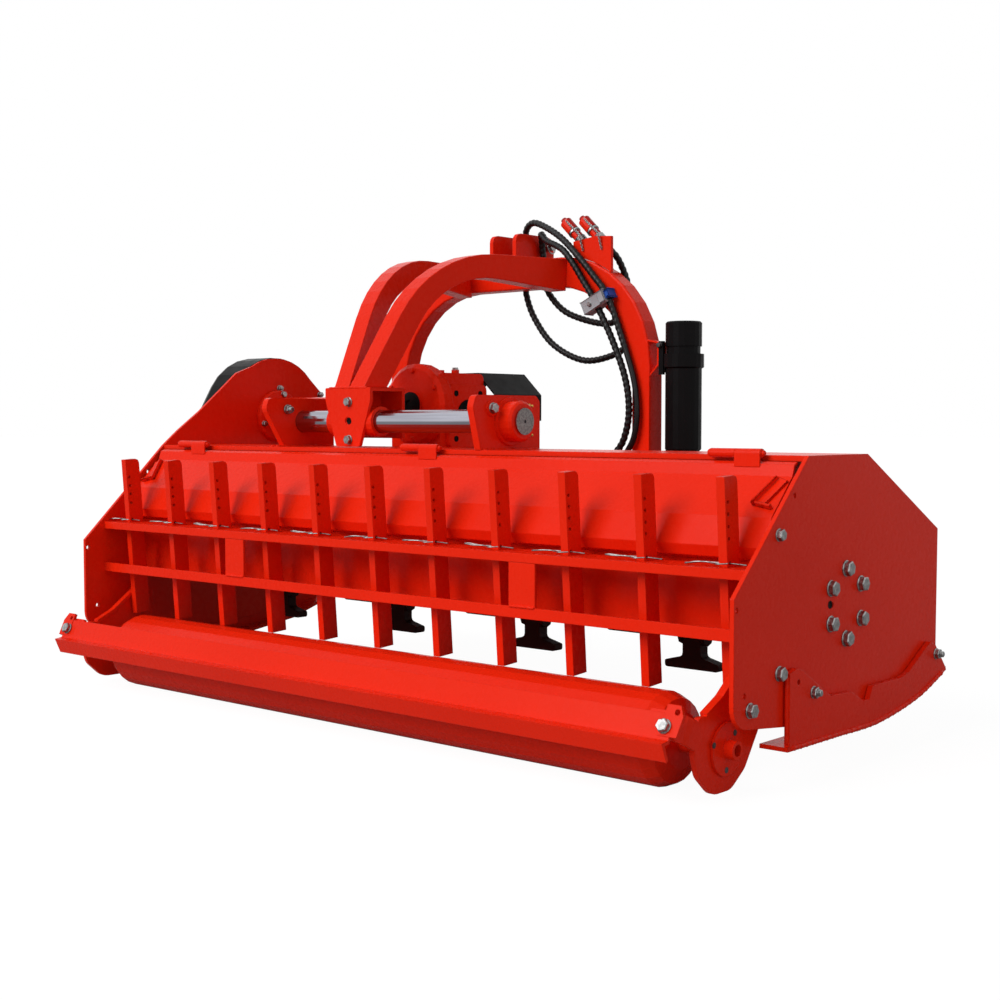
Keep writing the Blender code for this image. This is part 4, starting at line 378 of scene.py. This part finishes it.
def sweep(shape, points, side, sides, radius_at):
    """Add a round skin along points, closed at both ends, from the radius at a point's number and angle."""
    last = len(points) - 1
    rings = []
    for i, point in enumerate(points):
        along = (points[min(i + 1, last)] - points[max(i - 1, 0)]).normalized()
        side = (side - along * side.dot(along)).normalized()
        up = along.cross(side)
        ring = []
        for k in range(sides):
            angle = 2 * math.pi * k / sides
            out = side * math.cos(angle) + up * math.sin(angle)
            ring.append(shape.verts.new(point + out * radius_at(i, angle)))
        rings.append(ring)
    close_rings(shape, rings)


def wire(name, points, radius, material, body):
    """A round wire along points."""
    data = bpy.data.curves.new(name, "CURVE")
    data.dimensions = "3D"
    data.bevel_depth = radius
    data.bevel_resolution = 3
    data.use_fill_caps = True
    spline = data.splines.new("POLY")
    spline.points.add(len(points) - 1)
    for knot, point in zip(spline.points, points):
        knot.co = (*point, 1)
    spline.use_smooth = True
    made = bpy.data.objects.new(name, data)
    bpy.context.scene.collection.objects.link(made)
    data.materials.append(material)
    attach(made, body)


# Fasteners

def hex_head(shape, place, axis, flats, height, spin):
    """A hexagon head with a chamfered top, on a washer."""
    corner = flats / math.sqrt(3)
    rim = flats * 0.62
    washer = flats * 0.11
    lathe(shape, [(rim, 0), (rim, washer * 0.7), (flats * 0.58, washer)], place, axis, 24)
    top = [(corner, washer + height * 0.82), (corner * 0.86, washer + height)]
    lathe(shape, [(corner, washer)] + top, place, axis, 6, spin)


def stud(shape, place, axis, radius, length):
    """The threaded end of a bolt, with its turns as small ridges."""
    rings = []
    turns = 6
    for k in range(turns):
        rings.append((radius, length * (k + 0.2) / turns))
        rings.append((radius * 0.88, length * (k + 0.7) / turns))
    lathe(shape, [(radius, 0)] + rings + [(radius * 0.8, length)], place, axis, 14)


def bolts(name, places, axis, body, flats, height, end=0.0, material=ZINC):
    """A set of hexagon heads, or nuts with a stud end where end isn't 0, each turned a little farther."""
    shape = bmesh.new()
    for i, place in enumerate(places):
        foot = at(*place)
        hex_head(shape, foot, axis, flats, height, 0.3 + 0.7 * i)
        if end:
            top = foot + Vector(axis).normalized() * (height + flats * 0.1)
            stud(shape, top, axis, flats * 0.33, end)
    piece(name, shape, material, body)


def circle_places(x, centre, radius, angles):
    """Places on a circle that faces sideways, round a centre (y, z), at angles in degrees."""
    places = []
    for angle in angles:
        turn = math.radians(angle)
        places.append((x, centre[0] + radius * math.cos(turn), centre[1] + radius * math.sin(turn)))
    return places


def plate_bolts():
    """Fasteners on the side plates and the skids, and on the belt cover and the drive tube at the left."""
    for side, word in ((1, ""), (-1, "left_")):
        face = side * PLATE_FACE_X
        skid = side * SKID_FACE_X
        axis = (side, 0, 0)
        hub = circle_places(face, HUB, HUB_BOLT_RING, HUB_BOLT_TURNS)
        bolts(word + "hub_bolts", hub, axis, "frame", flats=0.028, height=0.012)
        pivots = [(face, -0.265, 0.237), (face, -0.371, 0.179)]
        bolts(word + "roller_pivot_bolts", pivots, axis, "frame", flats=0.025, height=0.011)
        ends = [(skid, -0.154, 0.187), (skid, 0.400, 0.201)]
        bolts(word + "skid_bolts", ends, axis, "frame", flats=0.021, height=0.009, end=0.008)
        stop = [(face, -0.270, 0.511)]
        bolts(word + "hood_stop_bolt", stop, axis, "frame", flats=0.021, height=0.010)
    cover = [(-1.075, 0.289, 0.838), (-1.075, 0.458, 0.820)]
    bolts("cover_bolts", cover, RIGHT, "frame", flats=0.017, height=0.008, end=0.005)
    flange = circle_places(-1.0586, TUBE_FLANGE, TUBE_BOLT_RING, range(20, 380, 60))
    bolts("tube_flange_bolts", flange, RIGHT, "frame", flats=0.016, height=0.008)


def headstock_bolts():
    """Fasteners on the carriage, the ears and the document tube's bracket."""
    carriage = [(HEAD_X + 0.005, -0.092, 0.785), (HEAD_X + 0.005, -0.092, 0.684)]
    bolts("carriage_bolts", carriage, REARWARD, "headstock", flats=0.021, height=0.009)
    bolts("right_ear_bolt", [(0.200, -0.120, 0.765)], RIGHT, "frame", flats=0.022, height=0.009)
    bolts("left_ear_bolt", [(-0.568, -0.110, 0.766)], RIGHT, "frame", flats=0.022, height=0.009, end=0.010)
    bolts("holder_bolt", [(0.198, 0.571, 0.943)], REARWARD, "headstock", flats=0.013, height=0.006,
          material=DARK_STEEL)


def scraper_bolts():
    """A bolt through each end tab of the scraper, square to the tab."""
    square = (0, -0.89, 0.455)
    for side, word in SIDES:
        place = (side * 1.002, -0.5345, 0.1625)
        bolts(word + "_scraper_bolt", [place], square, "roller_frame", flats=0.024, height=0.010)


def gearbox_bolts():
    """The red bolts round the gearbox's rear hub, and its filler plug."""
    rear = []
    for turn in range(30, 390, 60):
        angle = math.radians(turn)
        x = HEAD_X + REAR_HUB_BOLT_RING * math.cos(angle)
        rear.append((x, 0.154, REAR_HUB_Z + REAR_HUB_BOLT_RING * math.sin(angle)))
    bolts("gearbox_rear_bolts", rear, REARWARD, "frame", flats=0.014, height=0.006, material=RED)
    bolts("filler_plug", [(-0.272, 0.250, 0.876)], UP, "frame", flats=0.016, height=0.006)


# Turned parts, each with its profile of (radius, height)

NIPPLE = [(0.0060, 0), (0.0060, 0.004), (0.0034, 0.006), (0.0026, 0.009), (0.0036, 0.011),
          (0.0036, 0.013), (0.0018, 0.015)]
CAP_SCREW = [(0.0062, 0), (0.0062, 0.0006), (0.0032, 0.0006), (0.0028, 0.0001)]
REAR_HUB_CAP = [(0.036, 0), (0.036, 0.004), (0.030, 0.007), (0.014, 0.008), (0.012, 0.005)]
SIDE_SEAL = [(0.0455, 0), (0.0455, 0.003), (0.040, 0.003), (0.038, 0.001), (0.020, 0.001), (0.019, 0.004)]
# The next three profiles are thin dark discs: painted shade that stands in for the depth of a bolt hole or a
# bore.
BOLT_HOLE_SHADE = [(0.0085, 0), (0.0085, 0.001), (0.0065, 0.001), (0.0060, 0.0002)]
CARRIAGE_BORE_SHADE = [(0.0090, 0), (0.0090, 0.0006), (0.0078, 0.0006), (0.0070, 0.0001)]
HUB_BORE_SHADE = [(0.0085, 0), (0.0085, 0.0006), (0.0068, 0.0006), (0.0060, 0.0001)]
PIN_END = [(0.0085, 0), (0.0085, 0.0015), (0.0055, 0.0015), (0.0055, 0.006), (0.0045, 0.007)]
PIN_HEAD = [(0.0085, 0), (0.0085, 0.002), (0.0070, 0.005), (0.0030, 0.006)]
CLIP_PIN = [(0.0030, -0.016), (0.0030, 0.016), (0.0022, 0.018)]
COLLAR = [(0.0130, -0.006), (0.0165, -0.004), (0.0175, 0.000), (0.0162, 0.003), (0.0175, 0.006),
          (0.0162, 0.009), (0.0175, 0.012), (0.0150, 0.015)]
CAP_RIM = [(0.0160, 0.036), (0.0186, 0.037), (0.0186, 0.042), (0.0160, 0.043)]
FERRULE = [(0.0085, 0.000), (0.0125, 0.002), (0.0125, 0.012), (0.0100, 0.013), (0.0118, 0.015),
           (0.0118, 0.020), (0.0108, 0.021), (0.0118, 0.022), (0.0118, 0.030), (0.0104, 0.032)]


def grease_nipples():
    """Brass nipples beside the shaft's end, each with a waist and a round tip."""
    places = [(0.195, 0.018, 0.699), (0.195, 0.018, 0.771)]
    turned("ear_grease_nipples", NIPPLE, places, RIGHT, 16, BRASS, "frame")


def cap_screws():
    """Countersunk screws on the roller's bearing caps."""
    for side, word in SIDES:
        places = [(side * 1.0364, y, z) for y, z in ((-0.3456, 0.126), (-0.4191, 0.1125), (-0.3747, 0.0571))]
        turned(word + "_cap_screws", CAP_SCREW, places, (side, 0, 0), 18, DARK_STEEL, "roller_frame")


def gearbox_seals_and_hole_shades():
    """The rear hub's black cap and the side flange's black seal, with thin dark discs of painted shade on
    the flange's bolt holes.
    """
    shape = bmesh.new()
    lathe(shape, REAR_HUB_CAP, at(HEAD_X, 0.147, REAR_HUB_Z), REARWARD, 32)
    lathe(shape, SIDE_SEAL, at(-0.2445, 0.2735, 0.748), RIGHT, 36)
    # Painted shade: a thin dark disc on each of the flange's bolt holes.
    for y in (0.2240, 0.3230):
        for z in (0.6850, 0.8110):
            lathe(shape, BOLT_HOLE_SHADE, at(-0.2440, y, z), RIGHT, 16)
    piece("gearbox_seals_and_hole_shades", shape, BLACK_AND_HOLE_SHADE, "frame")


def painted_bore_shades():
    """Thin dark discs of painted shade for the holes in the carriage's face and in the right plate's."""
    carriage = [(-0.3395, -0.092, 0.7342)]
    turned("carriage_bore_shade", CARRIAGE_BORE_SHADE, carriage, REARWARD, 20, BLACK_AND_HOLE_SHADE, "headstock")
    plate = [(PLATE_FACE_X, -0.0660, 0.3552)]
    turned("hub_bore_shade", HUB_BORE_SHADE, plate, RIGHT, 20, BLACK_AND_HOLE_SHADE, "frame")


def hinge_ends():
    """The pin's end and its washer at the right of each hood hinge, and its head at the left."""
    shape = bmesh.new()
    for x in HINGE_XS:
        lathe(shape, PIN_END, at(x + HINGE_HALF_LENGTH, HINGE_Y, HINGE_Z), RIGHT, 18)
        lathe(shape, PIN_HEAD, at(x - HINGE_HALF_LENGTH, HINGE_Y, HINGE_Z), (-1, 0, 0), 18)
    piece("hinge_pin_ends", shape, RED, "frame")


# Couplers, chains and clips

def link(shape, centre, along, cross, long_radius, short_radius, thickness, steps=12, sides=6):
    """One closed oval link of round wire, from the radius of its wire as its thickness."""
    normal = along.cross(cross)
    rings = []
    for k in range(steps):
        turn = 2 * math.pi * k / steps
        spine = centre + along * (long_radius * math.cos(turn)) + cross * (short_radius * math.sin(turn))
        out = (along * math.cos(turn) + cross * math.sin(turn)).normalized()
        ring = []
        for j in range(sides):
            angle = 2 * math.pi * j / sides
            point = spine + out * (thickness * math.cos(angle)) + normal * (thickness * math.sin(angle))
            ring.append(shape.verts.new(point))
        rings.append(ring)
    for k in range(steps):
        low, high = rings[k], rings[(k + 1) % steps]
        for j in range(sides):
            shape.faces.new((low[j], low[(j + 1) % sides], high[(j + 1) % sides], high[j]))


def chain(name, route, body):
    """A fine chain of oval links, every second one turned across."""
    points = even_points(smooth_path([at(*point) for point in route], 12), CHAIN_PITCH)[0]
    shape = bmesh.new()
    for i, (a, b) in enumerate(zip(points, points[1:])):
        along = (b - a).normalized()
        cross = along.cross(Vector((0, 1, 0))).normalized()
        if i % 2:
            cross = along.cross(cross)
        link(shape, (a + b) / 2, along, cross, 0.0045, 0.0030, 0.0010)
    piece(name, shape, ZINC, body, RIPPLE_EDGE)


def coupler_parts():
    """Steel collars under the red caps, each with knurls, and the chains that hold the caps."""
    lean = math.radians(COUPLER_LEAN)
    axis = Vector((-math.sin(lean), 0, math.cos(lean)))
    for number, x in enumerate(COUPLER_XS, 1):
        foot = Vector((x, COUPLER_FOOT_Y, COUPLER_FOOT_Z))
        shape = bmesh.new()
        lathe(shape, COLLAR, foot + OFFSET, axis, 28)
        lathe(shape, CAP_RIM, foot + OFFSET, axis, 28)
        piece("coupler_collar_%d" % number, shape, ZINC, "headstock")
        top = foot + axis * 0.088 + Vector((0.008, -0.012, 0.004))
        low = foot + Vector((0.022, -0.026, -0.030))
        sag = (top + low) / 2 + Vector((0.030, -0.014, -0.002))
        route = [top, sag.lerp(top, 0.4), sag, sag.lerp(low, 0.5), low]
        chain("cap_chain_%d" % number, route, "headstock")


def pin_clip():
    """The spring ring through the top link pin's free end."""
    shape = bmesh.new()
    place = at(*CLIP_PLACE)
    cross = Vector((0, 0.8, 0.6))
    link(shape, place, Vector((0, 0.6, -0.8)), cross, 0.021, 0.017, 0.0019, 28, 8)
    lathe(shape, CLIP_PIN, place, cross, 12)
    piece("top_link_pin_clip", shape, ZINC, "headstock")


# Each tine clip's wire, from the tine's middle: a leg through the tine, a loop at the left and a wave back.
CLIP_LEG = ((0.052, -0.004, -0.001), (0.018, 0, 0), (-0.020, 0, 0), (-0.050, -0.002, 0))
CLIP_LOOP = ((-0.078, -0.004, 0), (-0.088, -0.010, 0), (-0.080, -0.017, 0))
CLIP_WAVE = ((-0.058, -0.018, 0.001), (-0.036, -0.010, 0.001), (-0.020, -0.014, 0),
             (-0.002, -0.026, 0), (0.016, -0.016, 0.001))


def tine_clips():
    """A wire spring clip through each tine just above the upper beam, each loop at its own height."""
    for i in range(TINE_COUNT):
        middle = (i - TINE_COUNT // 2) * TINE_PITCH
        lift = 0.0015 * ((i * 7) % 5 - 2)
        route = []
        for part, rise in ((CLIP_LEG, 0.0), (CLIP_LOOP, lift), (CLIP_WAVE, 0.0)):
            for x, y, z in part:
                route.append(at(middle + x, TINE_CLIP_Y + y, TINE_CLIP_Z + z + rise))
        number = "%02d" % (i + 1)
        wire("tine_clip_" + number, smooth_path(route), 0.0016, ZINC, "tine_" + number)


# Clamp and strips

def hose_clamp():
    """The grey clamp in two halves round both hoses, its screw, and the blue tie beside it."""
    along = Vector((0.90, 0, 0.43)).normalized()
    up = Vector((-0.43, 0, 0.90)).normalized()
    centre = Vector((-0.006, 0.553, 1.070))
    shape = bmesh.new()
    for side in (-1, 1):
        half = centre + Vector((0, side * 0.0095, 0))
        rounded_block(shape, half, along, up, (0.082, 0.018, 0.036), 0.0025)
    catch = centre + along * 0.030 + Vector((0, -0.019, 0))
    rounded_block(shape, catch, along, up, (0.018, 0.005, 0.030), 0.0015)
    piece("hose_clamp", shape, GREY, "headstock")
    screw = centre + along * -0.014 + Vector((0, -0.0185, 0))
    bolts("hose_clamp_screw", [screw], REARWARD, "headstock", flats=0.012, height=0.004)
    shape = bmesh.new()
    tie = centre + along * 0.048
    rounded_block(shape, tie, along, up, (0.020, 0.026, 0.022), 0.004)
    head = tie + along * 0.003 + Vector((0, -0.013, 0))
    rounded_block(shape, head, along, up, (0.010, 0.006, 0.014), 0.0015)
    piece("hose_tie", shape, BLUE, "headstock")


def gutter_strips():
    """A folded strip on the hood's slope near each end, with a foot turned outwards at its lower end."""
    up = Vector((0, -0.712, 0.703))
    down = Vector((-0.36, -0.66, -0.66)).normalized()
    for side, word in SIDES:
        shape = bmesh.new()
        run = Vector((side * down.x, down.y, down.z))
        top = Vector((side * 1.048, -0.191, 0.614))
        flat = top + run * 0.038 + up * 0.003
        rounded_block(shape, flat, run, up, (0.076, 0.026, 0.004), 0.001)
        fold = flat + Vector((-side * 0.012, 0, 0)) + up * 0.005
        rounded_block(shape, fold, run, up, (0.076, 0.003, 0.010), 0.001)
        foot = top + run * 0.072 + Vector((side * 0.012, -0.004, -0.004)) + up * 0.006
        rounded_block(shape, foot, Vector((side, -0.15, -0.15)), up, (0.040, 0.004, 0.010), 0.001)
        piece(word + "_gutter_strip", shape, RED, "hood")


# Welds

def weld(shape, points, radius):
    """Add a weld bead along points, with the ripples of its run and thin ends."""
    fine = even_points(smooth_path([at(*point) for point in points], 8), WELD_STEP)[0]
    last = len(fine) - 1

    def radius_at(i, angle):
        if i in (0, last):
            return radius * 0.45
        return radius * (0.86 + 0.14 * math.cos(i * 1.9) + 0.07 * math.sin(i * 0.83))

    sweep(shape, fine, Vector((0.3, 0.5, 0.8)).normalized(), 8, radius_at)


def ear_welds():
    """Beads along both sides of each ear's foot."""
    shape = bmesh.new()
    for x in (0.1955, 0.1745, -0.5695, -0.5905):
        weld(shape, [(x, -0.150, 0.6645), (x, -0.060, 0.6645), (x, 0.055, 0.6645)], 0.0045)
    piece("ear_welds", shape, RED, "frame", RIPPLE_EDGE)


def headstock_welds():
    """Beads along and across the carriage's top, and at the feet of the top lugs."""
    shape = bmesh.new()
    for side in (1, -1):
        x = HEAD_X + side * 0.0295
        weld(shape, [(x, -0.0815, 0.8236), (x, 0.030, 0.8236)], 0.0040)
    across = [(HEAD_X - 0.075, -0.0905, 0.8225), (HEAD_X, -0.0905, 0.8232),
              (HEAD_X + 0.075, -0.0905, 0.8225)]
    weld(shape, across, 0.0035)
    for x in (-0.386, -0.304):
        weld(shape, [(x, 0.570, 1.2085), (x, 0.600, 1.2090), (x, 0.629, 1.2085)], 0.0040)
    piece("headstock_welds", shape, RED, "headstock", RIPPLE_EDGE)


def rake_welds():
    """A short bead at each spacer plate of the rake's lower beam."""
    shape = bmesh.new()
    for x in (-0.485, 0.503):
        bead = [(x - 0.036, -0.3655, 0.3305), (x, -0.3660, 0.3308), (x + 0.036, -0.3655, 0.3305)]
        weld(shape, bead, 0.0035)
    piece("rake_welds", shape, RED, "frame", RIPPLE_EDGE)


def skid_welds():
    """A bead along each skid's sole, and one up its rear edge."""
    shape = bmesh.new()
    for side in (1, -1):
        x = side * (SKID_FACE_X - 0.0005)
        sole = [(x, -0.238, 0.0855), (x, -0.060, 0.0855), (x, 0.118, 0.0865), (x, 0.303, 0.1140),
                (x, 0.436, 0.1560)]
        weld(shape, sole, 0.0062)
        inner = x - side * 0.006
        weld(shape, [(inner, -0.2465, 0.095), (inner, -0.2465, 0.230)], 0.0045)
    piece("skid_welds", shape, RED, "frame", RIPPLE_EDGE)


# Hoses, each from a coupler on the arch to a port on the cylinder

OUTER_HOSE_ROUTE = [
    (-0.0275, 0.598, 1.2515), (-0.013, 0.598, 1.2375), (0.0015, 0.599, 1.2235), (0.013, 0.622, 1.199),
    (0.018, 0.646, 1.162), (0.028, 0.658, 1.115), (0.038, 0.660, 1.075), (0.044, 0.660, 1.020),
    (0.026, 0.660, 0.960), (-0.027, 0.660, 0.926), (-0.137, 0.660, 0.913), (-0.251, 0.660, 0.961),
    (-0.323, 0.658, 1.040), (-0.352, 0.650, 1.117), (-0.354, 0.643, 1.200), (-0.346, 0.638, 1.272),
    (-0.323, 0.618, 1.308), (-0.280, 0.600, 1.321), (-0.218, 0.585, 1.300), (-0.150, 0.568, 1.264),
    (-0.090, 0.555, 1.218), (-0.023, 0.554, 1.149), (0.030, 0.554, 1.085), (0.076, 0.555, 0.978),
    (0.121, 0.555, 0.856), (0.134, 0.555, 0.760), (0.124, 0.555, 0.690), (0.098, 0.556, 0.645),
    (0.065, 0.564, 0.596), (0.056, 0.588, 0.547), (0.055, 0.600, 0.502), (0.055, 0.600, 0.4566),
]
INNER_HOSE_ROUTE = [
    (-0.0945, 0.598, 1.2515), (-0.080, 0.598, 1.2375), (-0.0655, 0.599, 1.2235), (-0.050, 0.624, 1.210),
    (-0.038, 0.650, 1.182), (-0.026, 0.658, 1.140), (-0.006, 0.660, 1.100), (0.004, 0.660, 1.050),
    (-0.030, 0.660, 1.020), (-0.095, 0.660, 1.022), (-0.198, 0.660, 1.054), (-0.254, 0.655, 1.100),
    (-0.276, 0.645, 1.150), (-0.280, 0.644, 1.215), (-0.276, 0.632, 1.266), (-0.256, 0.606, 1.286),
    (-0.220, 0.586, 1.262), (-0.170, 0.568, 1.244), (-0.129, 0.556, 1.223), (-0.091, 0.554, 1.181),
    (-0.055, 0.554, 1.131), (-0.018, 0.554, 1.079), (0.043, 0.555, 0.970), (0.092, 0.555, 0.856),
    (0.106, 0.555, 0.760), (0.088, 0.555, 0.682), (0.050, 0.556, 0.632), (0.004, 0.574, 0.572),
    (-0.060, 0.594, 0.520), (-0.180, 0.600, 0.512), (-0.310, 0.600, 0.548), (-0.375, 0.600, 0.578),
    (-0.415, 0.600, 0.572), (-0.430, 0.600, 0.536), (-0.430, 0.600, 0.500), (-0.430, 0.600, 0.4566),
]


def wrapped_hose(name, route, wrap_end):
    """A hose whose skin has the ridges of a spiral wrap as far as wrap_end of its length."""
    points, length = even_points(smooth_path([at(*point) for point in route], 24), HOSE_STEP)
    last = len(points) - 1

    def radius_at(i, angle):
        walked = length * i / last
        if not WRAP_START < walked < length * wrap_end:
            return HOSE_RADIUS - BARE_DEPTH
        ridge = 0.5 + 0.5 * math.cos(angle - 2 * math.pi * walked / WRAP_PITCH)
        return HOSE_RADIUS - WRAP_GROOVE * (1 - ridge) ** 2

    shape = bmesh.new()
    sweep(shape, points, Vector((0, 1, 0)), 14, radius_at)
    hose = piece(name + "_skin", shape, HOSE, "headstock", RIPPLE_EDGE)
    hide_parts(name)
    fittings = hose_fittings(name, points)


def hose_fittings(name, points):
    """Crimped steel ferrules at both ends of a hose."""
    shape = bmesh.new()
    for end, inward in ((points[0], points[6] - points[0]), (points[-1], points[-7] - points[-1])):
        lathe(shape, FERRULE, end, inward, 18)
    return piece(name + "_ferrules", shape, ZINC, "headstock")


# Floor, light and camera

def floor():
    """A pale floor that the camera sees as white, with the object's shadow kept."""
    shape = bmesh.new()
    bmesh.ops.create_grid(shape, x_segments=2, y_segments=2, size=FLOOR_HALF_SIZE)
    data = bpy.data.meshes.new("floor")
    shape.to_mesh(data)
    shape.free()
    made = bpy.data.objects.new("floor", data)
    made.location = (0, 0, -FLOOR_DROP)
    bpy.context.scene.collection.objects.link(made)
    material = new_material("pale_floor", 0.9, specular=0.1)
    shader_of(material).inputs["Base Color"].default_value = (FLOOR_GREY, FLOOR_GREY, FLOOR_GREY, 1.0)
    nodes, links = material.node_tree.nodes, material.node_tree.links
    glow = nodes.new("ShaderNodeEmission")
    glow.inputs["Strength"].default_value = FLOOR_GLOW
    ray = nodes.new("ShaderNodeLightPath")
    share = nodes.new("ShaderNodeMath")
    share.operation = "MULTIPLY"
    share.inputs[1].default_value = FLOOR_WHITE
    mix = nodes.new("ShaderNodeMixShader")
    links.new(ray.outputs["Is Camera Ray"], share.inputs[0])
    links.new(share.outputs["Value"], mix.inputs["Fac"])
    links.new(shader_of(material).outputs["BSDF"], mix.inputs[1])
    links.new(glow.outputs["Emission"], mix.inputs[2])
    links.new(mix.outputs["Shader"], nodes["Material Output"].inputs["Surface"])
    data.materials.append(material)


def seen_rays(nodes, links):
    """1 for rays from the camera and for rays that metal and glass send on."""
    ray = nodes.new("ShaderNodeLightPath")
    seen = nodes.new("ShaderNodeMath")
    seen.operation = "MAXIMUM"
    links.new(ray.outputs["Is Camera Ray"], seen.inputs[0])
    links.new(ray.outputs["Is Glossy Ray"], seen.inputs[1])
    through = nodes.new("ShaderNodeMath")
    through.operation = "MAXIMUM"
    links.new(seen.outputs["Value"], through.inputs[0])
    links.new(ray.outputs["Is Transmission Ray"], through.inputs[1])
    return through.outputs["Value"]


def sun(name, place, strength, angle):
    """A soft lamp far away, from a place towards the object."""
    data = bpy.data.lights.new(name, "SUN")
    data.energy = strength
    data.angle = math.radians(angle)
    lamp = bpy.data.objects.new(name, data)
    lamp.location = place
    lamp.rotation_euler = (Vector(LIGHT_TARGET) - Vector(place)).to_track_quat("-Z", "Y").to_euler()
    bpy.context.scene.collection.objects.link(lamp)


def world():
    """Soft light from all round, and plain white where the camera, metal or glass sees the background."""
    made = bpy.data.worlds.new("studio")
    made.use_nodes = True
    bpy.context.scene.world = made
    nodes, links = made.node_tree.nodes, made.node_tree.links
    soft = nodes["Background"]
    soft.inputs["Color"].default_value = (1, 1, 1, 1)
    soft.inputs["Strength"].default_value = AMBIENT
    white = nodes.new("ShaderNodeBackground")
    white.inputs["Color"].default_value = (1, 1, 1, 1)
    white.inputs["Strength"].default_value = 1.0
    mix = nodes.new("ShaderNodeMixShader")
    links.new(seen_rays(nodes, links), mix.inputs["Fac"])
    links.new(soft.outputs["Background"], mix.inputs[1])
    links.new(white.outputs["Background"], mix.inputs[2])
    links.new(mix.outputs["Shader"], nodes["World Output"].inputs["Surface"])


def camera():
    """The camera at the photo's place, all in focus."""
    data = bpy.data.cameras.new("camera")
    data.sensor_width = SENSOR_WIDTH
    data.lens = CAMERA_LENS
    data.dof.use_dof = False
    made = bpy.data.objects.new("camera", data)
    made.location = CAMERA_PLACE
    made.rotation_euler = (math.radians(90 - CAMERA_PITCH), 0, math.radians(CAMERA_AZIMUTH))
    bpy.context.scene.collection.objects.link(made)
    bpy.context.scene.camera = made


first_looks()
second_look("hydraulic_couplers", CAP_RED, behind_bracket)
second_look("slide_shaft", WORN_STEEL, faces_sideways)
wrapped_hose("outer_hose", OUTER_HOSE_ROUTE, 0.76)
wrapped_hose("inner_hose", INNER_HOSE_ROUTE, 0.70)
plate_bolts()
headstock_bolts()
grease_nipples()
scraper_bolts()
cap_screws()
gearbox_seals_and_hole_shades()
painted_bore_shades()
gearbox_bolts()
coupler_parts()
pin_clip()
hose_clamp()
hinge_ends()
gutter_strips()
ear_welds()
headstock_welds()
rake_welds()
skid_welds()
tine_clips()

floor()
world()
sun("key", KEY_PLACE, KEY_STRENGTH, KEY_ANGLE)
sun("fill", FILL_PLACE, FILL_STRENGTH, FILL_ANGLE)
camera()

bpy.context.scene.view_settings.view_transform = "Standard"
